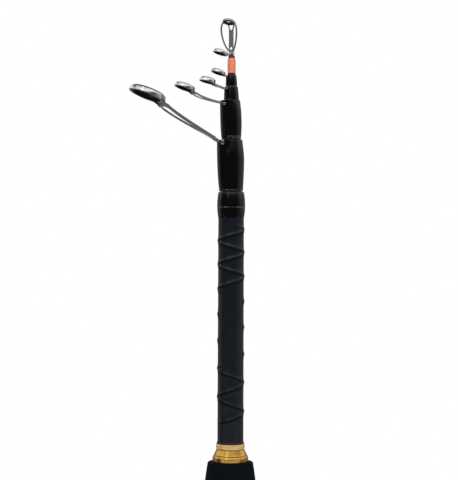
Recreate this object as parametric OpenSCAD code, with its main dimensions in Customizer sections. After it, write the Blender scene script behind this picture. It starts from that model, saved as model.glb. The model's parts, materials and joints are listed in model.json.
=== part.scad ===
// A telescopic fishing rod, closed: seven nested sections with their line guides on a fitted handle.
// It stands along +Z on its butt cap and the guides look along -X. Sizes are millimetres and degrees.

/* [Butt cap] */
// Height of the cap with its pad
cap_h = 15; // [13:0.5:24]
// Outside diameter of the cap
cap_d = 26.6; // [24:0.2:27.6]
// Number of finger flutes round the cap
cap_flutes = 24; // [12:1:32]
// Diameter of the cutter of a cap flute
cap_flute_d = 2.4; // [1:0.1:3]
// Depth of a flute, on the cap and on the lock nut
flute_depth = 0.6; // [0.3:0.05:0.9]
// Thickness of the rubber pad under the cap
pad_t = 3; // [2:0.1:5]
// How far the pad stands below the metal
pad_proud = 1; // [0.4:0.1:1.6]
// Metal rim round the pad
pad_rim = 2.2; // [1.5:0.1:4]
// Diameter of the cap's thread
thread_d = 15.4; // [14.6:0.1:18]
// Length of the cap's thread
thread_len = 12; // [9:0.5:20]
// Gap between the end of the cap's thread and the blank
spigot_gap = 1; // [0.5:0.1:2]
// Running clearance of a screw thread, on the radius
thread_clear = 0.06; // [0.03:0.01:0.1]
// Thickness of the sealing washer
washer_t = 1.2; // [0.8:0.1:2.5]
// Width of the sealing washer
washer_w = 3; // [1.5:0.1:4.5]
// Thickness of the head of the rubber bumper
bumper_t = 2.2; // [1.5:0.1:4]
// Diameter of the stem of the bumper
bumper_stem_d = 8; // [5:0.5:10]
// Length of the stem of the bumper
bumper_stem_len = 5; // [3:0.5:8]

/* [Handle] */
// Length of the rear grip
rear_grip_len = 86; // [70:1:160]
// Diameter of the rear grip
rear_grip_d = 28; // [25:0.5:32]
// Rounding of the ends of the rear grip
grip_round = 3; // [1:0.5:4]
// Length of the metal ferrule at the butt
ferrule_len = 30; // [24:1:50]
// Wall of the metal ferrule
ferrule_wall = 1.4; // [1:0.1:2]
// Height of the trim ring behind the reel seat
trim_ring_h = 3; // [2:0.1:6]
// Length of the foregrip
foregrip_len = 74; // [60:1:120]
// Diameter of the foregrip at its top
foregrip_top_d = 29.4; // [26:0.2:32]
// Largest diameter of the foregrip
foregrip_d = 34.6; // [32:0.2:38]
// Diameter of the foregrip at the reel seat
foregrip_base_d = 28; // [26:0.2:31]
// Distance from the top of the foregrip to its largest diameter
foregrip_swell = 26; // [16:1:40]
// Height of the fore collar
collar_h = 12.7; // [11:0.1:18]
// Diameter of the skirt of the fore collar
collar_skirt_d = 23.2; // [21:0.1:25]
// Diameter of the upper band of the fore collar
collar_band_d = 18.5; // [18.2:0.1:20]
// Height of the upper band of the fore collar
collar_band_h = 3.7; // [2.5:0.1:5]
// Height of the skirt of the fore collar
collar_skirt_h = 2; // [1.4:0.1:3]
// Height of the bead over the skirt
collar_bead_h = 1.9; // [1.2:0.1:2.6]
// Height of the dark seal on the collar
seal_h = 1.3; // [0.8:0.1:2]
// Thickness of the dark seal over the blank
seal_t = 0.85; // [0.6:0.05:1.2]
// Length of the shrink sleeve on the butt section
sleeve_len = 145.3; // [110:1:200]
// Thickness of the shrink sleeve
sleeve_t = 0.42; // [0.3:0.02:0.8]

/* [Grip ribs] */
// Pitch of the ribs at the top
rib_pitch_top = 14.6; // [10:0.1:16]
// Pitch of the ribs at the bottom
rib_pitch_base = 19.4; // [14:0.1:21]
// Distance from the top of the sleeve to the start of the ribs
rib_start = 5; // [3:0.5:12]
// Distance from the foot of the sleeve to the end of the ribs
rib_end = 11.1; // [4:0.1:20]
// Width of a rib
rib_w = 2.4; // [1.2:0.1:4]
// Height of a rib over the sleeve
rib_h = 0.5; // [0.3:0.05:0.9]
// Height of the upper rib over the lower one where they cross
rib_over = 0.06; // [0.04:0.01:0.1]
// Direction where the two ribs start and cross
rib_heading = -17; // [-180:1:180]
// Lap of the two ribs past the place where they start
rib_lap = 4; // [2:0.5:8]

/* [Reel seat] */
// Length of the reel seat
seat_len = 104; // [100:1:130]
// Diameter of the barrel of the reel seat
seat_d = 25; // [23:0.5:27]
// Wall of the barrel of the reel seat
seat_wall = 2.2; // [1.6:0.1:2.8]
// Depth of the flat bed for the reel foot
bed_depth = 0.8; // [0.4:0.1:1.2]
// Length of the fixed hood
fixed_hood_len = 20; // [17:0.5:26]
// Length of the sliding hood
sliding_hood_len = 18; // [16:0.5:24]
// Wall of the hoods
hood_wall = 1.3; // [1:0.1:2]
// Height of the pocket at the mouth of a hood
pocket_h = 5.4; // [4.6:0.1:7]
// Depth of the pocket of a hood
pocket_depth = 13; // [10:0.5:15]
// Radius of the pocket at its mouth
pocket_r = 9.6; // [8.5:0.1:10.5]
// Narrowing of the pocket for each millimetre of depth
pocket_slope = 0.25; // [0.1:0.01:0.3]
// Length of the lock nut
nut_len = 13; // [10:0.5:18]
// Thickness of the lock nut
nut_t = 3.1; // [2.6:0.1:4]
// Number of finger flutes round the lock nut
nut_flutes = 20; // [10:1:28]
// Diameter of the cutter of a nut flute
nut_flute_d = 2.6; // [1:0.1:3]
// Free thread between the lock nut and the foregrip
thread_rest = 3; // [1:0.5:8]
// Running clearance of the sliding hood, on the radius
hood_clear = 0.1; // [0.05:0.01:0.2]

/* [Sections] */
// Bore of the butt section at its rim
butt_bore = 13.7; // [13.2:0.1:15]
// Loss of radius for each millimetre of length
taper = 0.001; // [0.0006:0.0001:0.0012]
// Walls of sections 1 to 6
wall = [1, 1, 0.8, 0.65, 0.55, 0.45]; // [0.3:0.05:1.4]
// Length of sections 2 to 7 that stays inside the section below when drawn out
overlap = [95, 85, 75, 65, 60, 55]; // [40:1:120]
// Height of the rims of sections 2 to 6, each over the rim of the section below
stand_out = [34.1, 25.7, 8.8, 7.8, 14.6]; // [7:0.1:50]
// Running clearance of a section that is drawn out, on the radius
draw_clear = 0.05; // [0.03:0.01:0.08]
// Gap between a closed section and what it rests on
rest_gap = 0.3; // [0.2:0.05:0.6]

/* [Windings] */
// Length of the winding at the rim of the butt section
butt_winding_len = 16.9; // [12:0.1:30]
// Thickness of the windings of sections 1 to 6 at their foot
winding_foot_t = [0.5, 1.13, 1.19, 1.15, 1.06, 1.07]; // [0.4:0.01:1.8]
// Thickness of the windings of sections 1 to 6 at half height
winding_belly_t = [1.23, 1.59, 1.62, 0.84, 0.91, 0.97]; // [0.6:0.01:2.2]
// Thickness of the windings of sections 1 to 6 at their rim
winding_rim_t = [0.36, 0.72, 0.55, 0.45, 0.5, 0.55]; // [0.34:0.01:1]
// Rounding of the edges of a winding
winding_edge = 0.4; // [0.1:0.05:0.6]
// Swelling of the windings of sections 2 to 5 over the foot of the guide, at the rim
mound_h = [2.1, 1.7, 0.65, 0.6]; // [0.3:0.05:2.4]
// Half breadth of that swelling
mound_r = [3.6, 3.2, 2.4, 2]; // [1.8:0.1:4.5]
// How much that swelling sinks towards the foot of the winding
mound_fall = [2.4, 1.6, 0.3, 0.2]; // [0.1:0.05:3]
// Height of a metallic trim thread band
trim_h = 0.55; // [0.4:0.05:1.4]
// Depth of a trim thread band in its winding
trim_depth = 0.3; // [0.2:0.02:0.4]
// Height of the trim band on the butt winding over the foot of that winding
butt_trim_at = 7; // [3:0.1:10]
// Height of the lowest trim band of sections 2 and 3 over the foot of the winding
trim_at = [0.9, 0.65]; // [0.5:0.05:2]
// Spacing of the two trim bands of section 3
trim_pitch = 1; // [0.8:0.05:3]
// Heights of the dark whippings at the foot and at the head of the bright winding of section 6
whipping_h = [0.5, 1.3]; // [0.4:0.05:2.5]

/* [Line guides] */
// Outside diameters of the guides on sections 2 to 6
guide_d = [24.4, 13.7, 10.7, 9.6, 9.8]; // [9:0.1:28]
// Distance from the rod's axis to the centres of the guides
guide_reach = [56.1, 31.4, 16.2, 9, 7.5]; // [6.8:0.1:65]
// Height of the centres of the guides over the rims of their sections
guide_rise = [28.2, 7.6, 3.5, 1.4, -0.4]; // [-1:0.1:36]
// Tilt of the guides
guide_tilt = [21, 18, 13, 18, 16]; // [0:1:30]
// Wall of the guides' hoops
hoop_wall = [1.4, 1, 0.9, 0.85, 0.85]; // [0.6:0.05:2]
// Depth of the guides' hoops
hoop_depth = [3, 2.4, 2, 1.8, 1.8]; // [1.2:0.1:4]
// Wall of the black rings in the guides
ring_wall = [1.8, 1.2, 1, 0.9, 0.9]; // [0.6:0.05:2.4]
// How far a black ring stands out of its hoop on each side
ring_proud = 0.25; // [0.1:0.05:0.5]
// Breadth of the guides' legs at the hoop
leg_top_w = [17.8, 10.4, 7.8, 4.2, 3.6]; // [2.6:0.1:18]
// Breadth of the guides' legs at the foot
leg_foot_w = [4.4, 3.4, 2.9, 2.8, 2.6]; // [2:0.1:6]
// Thickness of the guides' legs
leg_t = [0.9, 0.65, 0.6, 1, 1.3]; // [0.6:0.05:2]
// Depth of the middle of a leg's foot below the rim
leg_drop = [2.3, 2.3, 1.7, 1.4, 1.6]; // [0.8:0.1:3]
// Rise of the legs at the foot
leg_foot_rise = [29, 8, 14, 20, -12]; // [-20:1:45]
// Rise of the legs where they bend up to the hoop
leg_head_rise = [47, 44, 40, 20, -12]; // [-20:1:55]
// Distance from the foot to the slot in the legs of the first three guides, across the rod
slot_start = [5, 3, 1.8]; // [1.5:0.1:20]
// Distance from the slot to the head of the leg, across the rod
slot_neck = [4.1, 3, 2.3]; // [0.8:0.1:10]
// Breadth of the slot at its narrow end
slot_foot_w = [1.6, 1, 0.9]; // [0.5:0.05:2]
// Breadth of the slot at its broad end
slot_top_w = [13, 7.2, 4.8]; // [0.8:0.1:14]
// Length of the metal tubes by which the guides are whipped on
tube_len = [9, 7, 5, 4.5, 6.5]; // [3:0.1:14]
// Wall of those tubes
tube_wall = [0.5, 0.36, 0.28, 0.3, 0.36]; // [0.2:0.02:0.7]
// Bare end of those tubes at the rim
tube_bare = [0.5, 0.5, 0.5, 0.5, 2.7]; // [0.3:0.1:5]
// Height of the clasps beside the feet of the first three guides
clasp_h = [3.2, 2, 1.6]; // [1:0.1:5]
// Breadth of the clasps
clasp_w = [2, 1.2, 1.1]; // [0.8:0.1:3]
// How far the clasps stand out of the winding
clasp_proud = 0.15; // [0.05:0.05:0.4]
// Angle from the foot of a guide to each of its clasps
clasp_angle = [28, 29, 33]; // [25:1:60]

/* [Tip top] */
// Outside diameter of the tip guide
tip_guide_d = 8.1; // [7:0.1:10]
// Distance from the rod's axis to the centre of the tip guide
tip_reach = 4.1; // [3.6:0.1:6]
// Height of the centre of the tip guide over its boss
tip_rise = 18.8; // [14:0.1:22]
// Tilt of the tip guide
tip_tilt = 18; // [0:1:30]
// Direction of the tip guide, turned from the other guides
tip_turn = 44; // [0:1:90]
// Wall of the tip guide's hoop
tip_hoop_wall = 0.8; // [0.6:0.05:1.2]
// Depth of the tip guide's hoop
tip_hoop_depth = 1.5; // [1.1:0.1:2.5]
// Wall of the tip guide's black ring
tip_ring_wall = 0.9; // [0.6:0.05:1.4]
// Diameter of the side wires of the tip guide
tip_wire_d = 1.15; // [0.7:0.05:1.4]
// How far the side wires bow out of the hoop
tip_wire_bow = 3.2; // [1:0.1:5]
// How far the side wires lead the hoop
tip_wire_lead = 0.7; // [0:0.1:1.5]
// Breadth of the middle bar of the tip guide
tip_bar_w = 3.3; // [2:0.1:3.6]
// Thickness of the middle bar
tip_bar_t = 0.8; // [0.5:0.05:1.2]
// Breadth of a prong of the middle bar
tip_prong_w = 0.8; // [0.5:0.05:1]
// Length of the prongs of the middle bar at the hoop
tip_prong_len = 3.4; // [2:0.1:5]
// Diameter of the boss at the foot of the tip guide
tip_boss_d = 3.6; // [3:0.1:4.2]
// Height of the boss
tip_boss_h = 1.2; // [0.8:0.1:2]
// Length of the tube that holds the tip guide on the rod
tip_tube_len = 10; // [6:0.5:16]
// Clearance of that tube in section 6, on the radius
tip_tube_clear = 0.09; // [0.05:0.01:0.15]

/* [Hidden] */
$fn = 72;
// Gap of a piece that is glued in its seat
fit = 0.02;
// Overshoot of a cutter past the face that it cuts
over = 1;
// Roundings of a hoop and of a black ring, as shares of the wall
hoop_round = 0.33;
ring_round = 0.45;
// Pulls of the ends of a leg's curve, as shares of the leg's length
foot_pull = 0.45;
head_pull = 0.2;
// Depth of a leg's head below the middle of its hoop, as a share of the hoop's depth
head_sink = 0.4;
// Half angle of the round of the collar's bead
bead_angle = 60;
// Steps of a corner, of a swelling, of one turn of a rib, of a leg and of a side wire
// and the sides of that wire
facets_arc = 5;
facets_swell = 14;
rib_steps = 18;
leg_steps = 10;
wire_steps = 14;
wire_sides = 8;

// Heights along the handle
grip_z = cap_h + washer_t;
blank_z = grip_z + thread_len;
bumper_z = blank_z - spigot_gap;
rest_z = bumper_z + bumper_t + rest_gap;
trim_ring_z = grip_z + rear_grip_len;
seat_z = trim_ring_z + trim_ring_h;
foregrip_z = seat_z + seat_len;
collar_z = foregrip_z + foregrip_len;
seal_z = collar_z + collar_h;
sleeve_z = seal_z + seal_h;
butt_winding_z = sleeve_z + sleeve_len;
butt_rim = butt_winding_z + butt_winding_len;

// Heights of the reel seat's moving pieces
nut_z = foregrip_z - thread_rest - nut_len;
hood_z = nut_z - rest_gap - sliding_hood_len;

seat_r = seat_d / 2;
seat_bore_r = seat_r - seat_wall;
thread_r = thread_d / 2;

// Rim of section k, and the sizes of the nested tubes there
function rim(k) = k == 1 ? butt_rim : rim(k - 1) + stand_out[k - 2];
function top_r(k) = k == 1 ? butt_bore / 2 + wall[0] : heel_r(k) - taper * (rim(k) - rest_z);
function top_bore_r(k) = top_r(k) - wall[k - 1];
function heel_r(k) = top_bore_r(k - 1) + taper * overlap[k - 2] - draw_clear;
function blank_r(k, z) = top_r(k) + taper * (rim(k) - z);
function bore_r(k, z) = top_bore_r(k) + taper * (rim(k) - z);

// Foot and head of the winding of section k, its bore, and its radius at the share u of its height
function winding_z(k) = k == 1 ? butt_winding_z : rim(k - 1) + rest_gap;
function winding_top(k) = k == 1 ? butt_rim : rim(k) - tube_bare[k - 2];
function winding_bore(k) = blank_r(k, winding_z(k)) + fit;
function winding_bulge(k) = winding_belly_t[k - 1] - (winding_foot_t[k - 1] + winding_rim_t[k - 1]) / 2;
function winding_t(k, u) =
    winding_foot_t[k - 1] * (1 - u) + winding_rim_t[k - 1] * u + 4 * winding_bulge(k) * u * (1 - u);
function winding_r(k, u) = winding_bore(k) + winding_t(k, u);
function winding_r_at(k, z) = winding_r(k, (z - winding_z(k)) / (winding_top(k) - winding_z(k)));

// Places of the guide of section k, as points of the XZ plane
function hoop_centre(k) = [-guide_reach[k - 2], rim(k) + guide_rise[k - 2]];
function hoop_mid_r(k) = (guide_d[k - 2] - hoop_wall[k - 2]) / 2;
function ring_seat_r(k) = guide_d[k - 2] / 2 - hoop_wall[k - 2];
function leg_foot(k) = [-winding_bore(k) - tube_wall[k - 2] / 2, rim(k) - leg_drop[k - 2]];
function leg_head(k) =
    let (tilt = guide_tilt[k - 2], out = chord_reach(hoop_mid_r(k), leg_top_w[k - 2]))
    hoop_centre(k) + out * [cos(tilt), -sin(tilt)] - head_sink * hoop_depth[k - 2] * [sin(tilt), cos(tilt)];
function leg_len(k) = norm(leg_head(k) - leg_foot(k));
function leg_run(k) = leg_foot(k)[0] - leg_head(k)[0];
function towards(a) = [-cos(a), sin(a)];
function leg_route(k) = [
    leg_foot(k),
    leg_foot(k) + leg_len(k) * foot_pull * towards(leg_foot_rise[k - 2]),
    leg_head(k) - leg_len(k) * head_pull * towards(leg_head_rise[k - 2]),
    leg_head(k)
];
function leg_line(k) = [for (i = [0:leg_steps]) cubic(leg_route(k), i / leg_steps)];
function cubic(p, t) =
    (1 - t) ^ 3 * p[0] + 3 * t * (1 - t) ^ 2 * p[1] + 3 * t * t * (1 - t) * p[2] + t ^ 3 * p[3];
function unit(v) = v / norm(v);
function chord_reach(r, w) = sqrt(r * r - w * w / 4);

tip_z = rim(6) + rest_gap;
tip_end_z = tip_z + tip_boss_h / 2;
tip_hoop_z = tip_z + tip_rise;
tip_tube_z = tip_z - tip_tube_len;
tip_tube_r = top_bore_r(6) - tip_tube_clear;
tip_heel_r = heel_r(7);

// Points of an arc, and of a rectangle with round corners about the origin
function arc(r, from, to, centre) =
    [for (i = [0:facets_arc]) let (a = from + (to - from) * i / facets_arc) centre + r * [cos(a), sin(a)]];
function round_box(w, h, r) = [
    each arc(r, 0, 90, [w / 2 - r, h / 2 - r]),
    each arc(r, 90, 180, [r - w / 2, h / 2 - r]),
    each arc(r, 180, 270, [r - w / 2, r - h / 2]),
    each arc(r, 270, 360, [w / 2 - r, r - h / 2])
];

module tube(r, bore, z, top) {
    translate([0, 0, z])
    difference() {
        cylinder(r = r, h = top - z);
        translate([0, 0, -over])
        cylinder(r = bore, h = top - z + 2 * over);
    }
}

// Finger flutes cut round a knob of radius r
module flutes(count, r, cutter_d, z, h) {
    for (i = [0:count - 1])
        rotate([0, 0, 360 * i / count])
        translate([r + cutter_d / 2 - flute_depth, 0, z])
        cylinder(d = cutter_d, h = h, $fn = 24);
}

// Butt cap and what it carries
module butt_pad() {
    pad_r = cap_d / 2 - pad_rim - fit;
    color("#1c1c1c")
    rotate_extrude()
    polygon([
        [0, 0],
        each arc(pad_proud / 2, -90, 0, [pad_r - pad_proud / 2, pad_proud / 2]),
        [pad_r, pad_t],
        [0, pad_t]
    ]);
}

module butt_cap() {
    r = cap_d / 2;
    spigot_r = thread_r - thread_clear;
    edge = pad_rim / 3;
    color("#202224")
    difference() {
        rotate_extrude()
        polygon([
            [0, pad_proud],
            each arc(edge, -90, 0, [r - edge, pad_proud + edge]),
            each arc(edge, 0, 90, [r - edge, cap_h - edge]),
            [spigot_r, cap_h],
            [spigot_r, bumper_z],
            [0, bumper_z]
        ]);
        translate([0, 0, pad_proud - over])
        cylinder(r = r - pad_rim, h = pad_t - pad_proud + over + fit);
        translate([0, 0, bumper_z - bumper_stem_len])
        cylinder(d = bumper_stem_d + 2 * fit, h = bumper_stem_len + over);
        flutes(cap_flutes, r, cap_flute_d, pad_proud + 2 * edge, cap_h - pad_proud - 4 * edge);
    }
}

module cap_bumper() {
    head_r = thread_r - thread_clear - bumper_t / 3;
    color("#262626")
    rotate_extrude()
    polygon([
        [0, bumper_z - bumper_stem_len + fit],
        [bumper_stem_d / 2, bumper_z - bumper_stem_len + fit],
        [bumper_stem_d / 2, bumper_z],
        [head_r, bumper_z],
        each arc(bumper_t / 2, 0, 90, [head_r - bumper_t / 2, bumper_z + bumper_t / 2]),
        [0, bumper_z + bumper_t]
    ]);
}

module cap_washer() {
    color("#111111")
    translate([0, 0, cap_h])
    rotate_extrude()
    translate([thread_r + thread_clear + washer_w / 2, washer_t / 2])
    polygon(round_box(washer_w, washer_t - 2 * fit, washer_t / 4));
}

// Butt end of the handle
ferrule_socket_r = blank_r(1, blank_z) + fit;
ferrule_r = max(ferrule_socket_r, thread_r) + ferrule_wall;

module butt_ferrule() {
    color("#8d8f92")
    difference() {
        tube(ferrule_r, thread_r, grip_z, grip_z + ferrule_len);
        translate([0, 0, blank_z])
        cylinder(r = ferrule_socket_r, h = ferrule_len);
    }
}

module rear_grip() {
    r = rear_grip_d / 2;
    color("#1b1c1d")
    difference() {
        rotate_extrude()
        polygon([
            [0, grip_z],
            each arc(grip_round, -90, 0, [r - grip_round, grip_z + grip_round]),
            each arc(grip_round, 0, 90, [r - grip_round, trim_ring_z - grip_round]),
            [0, trim_ring_z]
        ]);
        translate([0, 0, grip_z - over])
        cylinder(r = ferrule_r + fit, h = ferrule_len + over + fit);
        translate([0, 0, grip_z])
        cylinder(r = ferrule_socket_r, h = rear_grip_len + over);
    }
}

module rear_trim_ring() {
    bore = blank_r(1, trim_ring_z) + fit;
    r = seat_r + hood_wall;
    color("#c79a4b")
    rotate_extrude()
    translate([(r + bore) / 2, trim_ring_z + trim_ring_h / 2])
    polygon(round_box(r - bore, trim_ring_h, trim_ring_h / 4));
}

// Reel seat
module reel_seat() {
    bed_z = seat_z + fixed_hood_len - pocket_depth;
    bed_len = hood_z + sliding_hood_len - bed_z;
    color("#17181a")
    difference() {
        tube(seat_r, seat_bore_r, seat_z, foregrip_z);
        translate([-seat_r - over, -seat_r, bed_z])
        cube([bed_depth + over, seat_d, bed_len]);
    }
}

module seat_arbor() {
    color("#3b3b39")
    tube(seat_bore_r - fit, blank_r(1, seat_z) + fit, seat_z, foregrip_z);
}

// Hood with its mouth at the top and its pocket towards -X, on a bore of the given radius
module hood(len, bore) {
    axis = seat_r + pocket_h - pocket_r;
    heel = len * pocket_slope;
    edge = hood_wall / 2;
    difference() {
        union() {
            rotate_extrude()
            polygon([
                [0, 0],
                each arc(edge, -90, 0, [seat_r + hood_wall - edge, edge]),
                [seat_r + hood_wall, len],
                [0, len]
            ]);
            translate([-axis, 0, 0])
            cylinder(r1 = pocket_r + hood_wall - heel, r2 = pocket_r + hood_wall, h = len);
        }
        translate([0, 0, -over])
        cylinder(r = bore, h = len + 2 * over);
        translate([-axis, 0, len - pocket_depth])
        cylinder(r1 = pocket_r - pocket_depth * pocket_slope, r2 = pocket_r + over * pocket_slope,
            h = pocket_depth + over);
    }
}

module fixed_hood() {
    color("#b9bcbf")
    translate([0, 0, seat_z])
    hood(fixed_hood_len, seat_r + fit);
}

module sliding_hood() {
    color("#b9bcbf")
    translate([0, 0, hood_z + sliding_hood_len])
    mirror([0, 0, 1])
    hood(sliding_hood_len, seat_r + hood_clear);
}

module lock_nut() {
    bore = seat_r + thread_clear;
    r = seat_r + nut_t;
    edge = nut_t / 3;
    color("#202224")
    difference() {
        translate([0, 0, nut_z])
        rotate_extrude()
        polygon([
            [bore, 0],
            each arc(edge, -90, 0, [r - edge, edge]),
            each arc(edge, 0, 90, [r - edge, nut_len - edge]),
            [bore, nut_len]
        ]);
        flutes(nut_flutes, r, nut_flute_d, nut_z + 2 * edge, nut_len - 4 * edge);
    }
}

// Foregrip and collar
function foregrip_r(z) =
    let (top = foregrip_top_d / 2, belly = foregrip_d / 2, foot = foregrip_base_d / 2)
    let (down = collar_z - z, fall = foregrip_len - foregrip_swell)
    down < foregrip_swell
        ? top + (belly - top) * sin(90 * down / foregrip_swell)
        : foot + (belly - foot) * (1 + cos(180 * (down - foregrip_swell) / fall)) / 2;

module foregrip() {
    edge = grip_round / 2;
    low = foregrip_z + edge;
    high = collar_z - edge;
    color("#1b1c1d")
    difference() {
        rotate_extrude()
        polygon([
            [0, foregrip_z],
            each arc(edge, -90, 0, [foregrip_r(low) - edge, low]),
            for (i = [1:2 * facets_swell - 1])
                let (z = low + (high - low) * i / (2 * facets_swell)) [foregrip_r(z), z],
            each arc(edge, 0, 90, [foregrip_r(high) - edge, high]),
            [0, collar_z]
        ]);
        translate([0, 0, foregrip_z - over])
        cylinder(r = blank_r(1, foregrip_z) + fit, h = foregrip_len + 2 * over);
    }
}

module fore_collar() {
    bore = blank_r(1, collar_z) + fit;
    skirt_r = collar_skirt_d / 2;
    band_r = collar_band_d / 2;
    edge = collar_skirt_h / 4;
    bead_r = collar_bead_h / 2;
    bead_z = collar_skirt_h + collar_bead_h;
    band_z = collar_h - collar_band_h;
    flare_r = skirt_r - 2 * edge;
    neck_r = band_r - edge / 2;
    color("#cda35a")
    translate([0, 0, collar_z])
    rotate_extrude()
    polygon([
        [bore, 0],
        each arc(edge, -90, 0, [skirt_r - edge, edge]),
        each arc(edge, 0, 90, [skirt_r - edge, collar_skirt_h - edge]),
        each arc(bead_r, -bead_angle, bead_angle, [skirt_r - edge - bead_r, collar_skirt_h + bead_r]),
        for (p = arc(1, 270, 180, [0, 0]))
            [flare_r + (flare_r - neck_r) * p[0], band_z + (band_z - bead_z) * p[1]],
        each arc(edge / 2, -90, 0, [band_r - edge / 2, band_z + edge / 2]),
        each arc(edge, 0, 90, [band_r - edge, collar_h - edge]),
        [bore, collar_h]
    ]);
}

module collar_seal() {
    bore = blank_r(1, seal_z) + fit;
    color("#1a1410")
    rotate_extrude()
    translate([bore + seal_t / 2, seal_z + seal_h / 2])
    polygon(round_box(seal_t, seal_h, seal_t / 3));
}

function sleeve_r(z) = blank_r(1, z) + fit + sleeve_t;

module grip_sleeve() {
    color("#1f2529")
    translate([0, 0, sleeve_z])
    difference() {
        cylinder(r1 = sleeve_r(sleeve_z), r2 = sleeve_r(butt_winding_z), h = sleeve_len);
        translate([0, 0, -over])
        cylinder(r1 = blank_r(1, sleeve_z - over) + fit, r2 = blank_r(1, butt_winding_z + over) + fit,
            h = sleeve_len + 2 * over);
    }
}

// Two ribs wound opposite ways round the sleeve, with a pitch that grows towards the collar
rib_turns = 2 * (sleeve_len - rib_start - rib_end) / (rib_pitch_top + rib_pitch_base);
rib_count = ceil(rib_turns * rib_steps);
rib_top = butt_winding_z - rib_start;
function rib_z(turn) =
    rib_top - rib_pitch_top * turn - (rib_pitch_base - rib_pitch_top) * turn * turn / (2 * rib_turns);
function rib_point(i, hand, rise, side) =
    let (turn = rib_turns * i / rib_count, z = rib_z(turn) + side)
    let (a = rib_heading + hand * (360 * turn - rib_lap))
    let (foot_r = sleeve_r(rib_z(turn) - rib_w) / cos(180 * rib_turns / rib_count) + fit)
    let (r = foot_r + rise + (hand > 0 ? rib_over : 0))
    [r * cos(a), r * sin(a), z];
function rib_section(i, hand) = [
    rib_point(i, hand, 0, -rib_w / 2),
    rib_point(i, hand, rib_h, -rib_w / 5),
    rib_point(i, hand, rib_h, rib_w / 5),
    rib_point(i, hand, 0, rib_w / 2)
];

// A skin of triangles over a row of loops with the same count of points, closed at both ends
module skin(loops) {
    n = len(loops[0]);
    last = (len(loops) - 1) * n;
    polyhedron(
        points = [for (loop = loops) each loop],
        faces = [
            for (j = [1:n - 2]) [0, j + 1, j],
            for (i = [0:len(loops) - 2], j = [0:n - 1])
                each [
                    [i * n + j, i * n + (j + 1) % n, (i + 1) * n + j],
                    [i * n + (j + 1) % n, (i + 1) * n + (j + 1) % n, (i + 1) * n + j]
                ],
            for (j = [1:n - 2]) [last, last + j, last + j + 1]
        ]
    );
}

module grip_ribs() {
    turn_gap = min([for (i = [0:rib_count - rib_steps]) norm(
        rib_point(i + rib_steps, 1, 0, 0) - rib_point(i, 1, 0, 0))]) - rib_w;
    echo(str("Least gap between the turns of a rib: ", turn_gap, " mm"));
    color("#252b30")
    union() {
        skin([for (i = [0:rib_count]) rib_section(i, 1)]);
        skin([for (i = [rib_count:-1:0]) rib_section(i, -1)]);
    }
}

// Tapered tube of section k from the height z to its rim
module blank(k, z) {
    h = rim(k) - z;
    translate([0, 0, z])
    difference() {
        cylinder(r1 = blank_r(k, z), r2 = top_r(k), h = h);
        translate([0, 0, -over])
        cylinder(r1 = bore_r(k, z - over), r2 = bore_r(k, rim(k) + over), h = h + 2 * over);
    }
}

// Distance of the middle of a swelling from the axis, and the reach of the swelling at the angle a
function mound_out(k) = winding_r(k, 1) + mound_h[k - 2] - mound_r[k - 2];
function mound_reach(k, a) =
    let (across = mound_out(k) * sin(a))
    mound_out(k) * cos(a) + sqrt(max(0, mound_r[k - 2] ^ 2 - across ^ 2));

// Swelling of a winding over the foot of its guide, which sinks into the winding towards its lower end
module mound(k) {
    i = k - 2;
    high = winding_top(k) - winding_edge;
    h = high - winding_z(k) - winding_edge;
    translate([-mound_out(k), 0, 0])
    rotate_extrude()
    polygon([
        [0, high],
        [0, high - h],
        for (j = [facets_swell:-1:0])
            let (s = j / facets_swell) [mound_r[i] - mound_fall[i] * (1 - sqrt(1 - s * s)), high - s * h]
    ]);
}

// Varnished thread winding of section k, with a round edge at its foot and at its head
module winding_body(k) {
    z = winding_z(k);
    h = winding_top(k) - z;
    cover = k == 1 ? winding_rim_t[0] : winding_rim_t[k - 1] - tube_wall[k - 2];
    edge = min(winding_edge, cover / 2);
    bore = winding_bore(k);
    difference() {
        union() {
            rotate_extrude()
            polygon([
                [bore, z],
                [winding_r(k, 0) - edge, z],
                for (i = [0:facets_swell])
                    let (u = (edge + (h - 2 * edge) * i / facets_swell) / h) [winding_r(k, u), z + u * h],
                [winding_r(k, 1) - edge, z + h],
                [bore, z + h]
            ]);
            if (k >= 2 && k <= 5)
                mound(k);
        }
        translate([0, 0, z - over])
        cylinder(r = bore, h = h + 2 * over);
    }
}

// Winding of a section with a guide, cut for the guide's tube, clasps and leg
module guide_winding(k) {
    difference() {
        winding_body(k);
        translate([0, 0, rim(k) - tube_len[k - 2] - fit])
        cylinder(r = winding_bore(k) + tube_wall[k - 2] + fit, h = tube_len[k - 2] + over);
        if (k <= 4)
            clasps(k, fit, over);
        leg(k, fit);
    }
}

// Trim thread band round the winding of section k at the height z, or the cutter for its groove
module trim_band(k, z, gap, out) {
    r = winding_r_at(k, z) + fit;
    half = trim_h / 2 + gap;
    tube(r + out, r - trim_depth - gap, z - half, z + half);
}

// Two clasps beside the foot of the guide of section k, or the cutters for their places
module clasps(k, gap, out) {
    i = k - 2;
    z = winding_top(k) - clasp_h[i];
    bore = winding_bore(k);
    w = clasp_w[i] + 2 * gap;
    reach = max(winding_r_at(k, z), mound_reach(k, clasp_angle[i])) - bore + clasp_proud + out;
    for (side = [-1, 1])
        rotate([0, 0, 180 + side * clasp_angle[i]])
        translate([bore, -w / 2, z - gap])
        cube([reach, w, clasp_h[i] + gap + out]);
}

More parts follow.
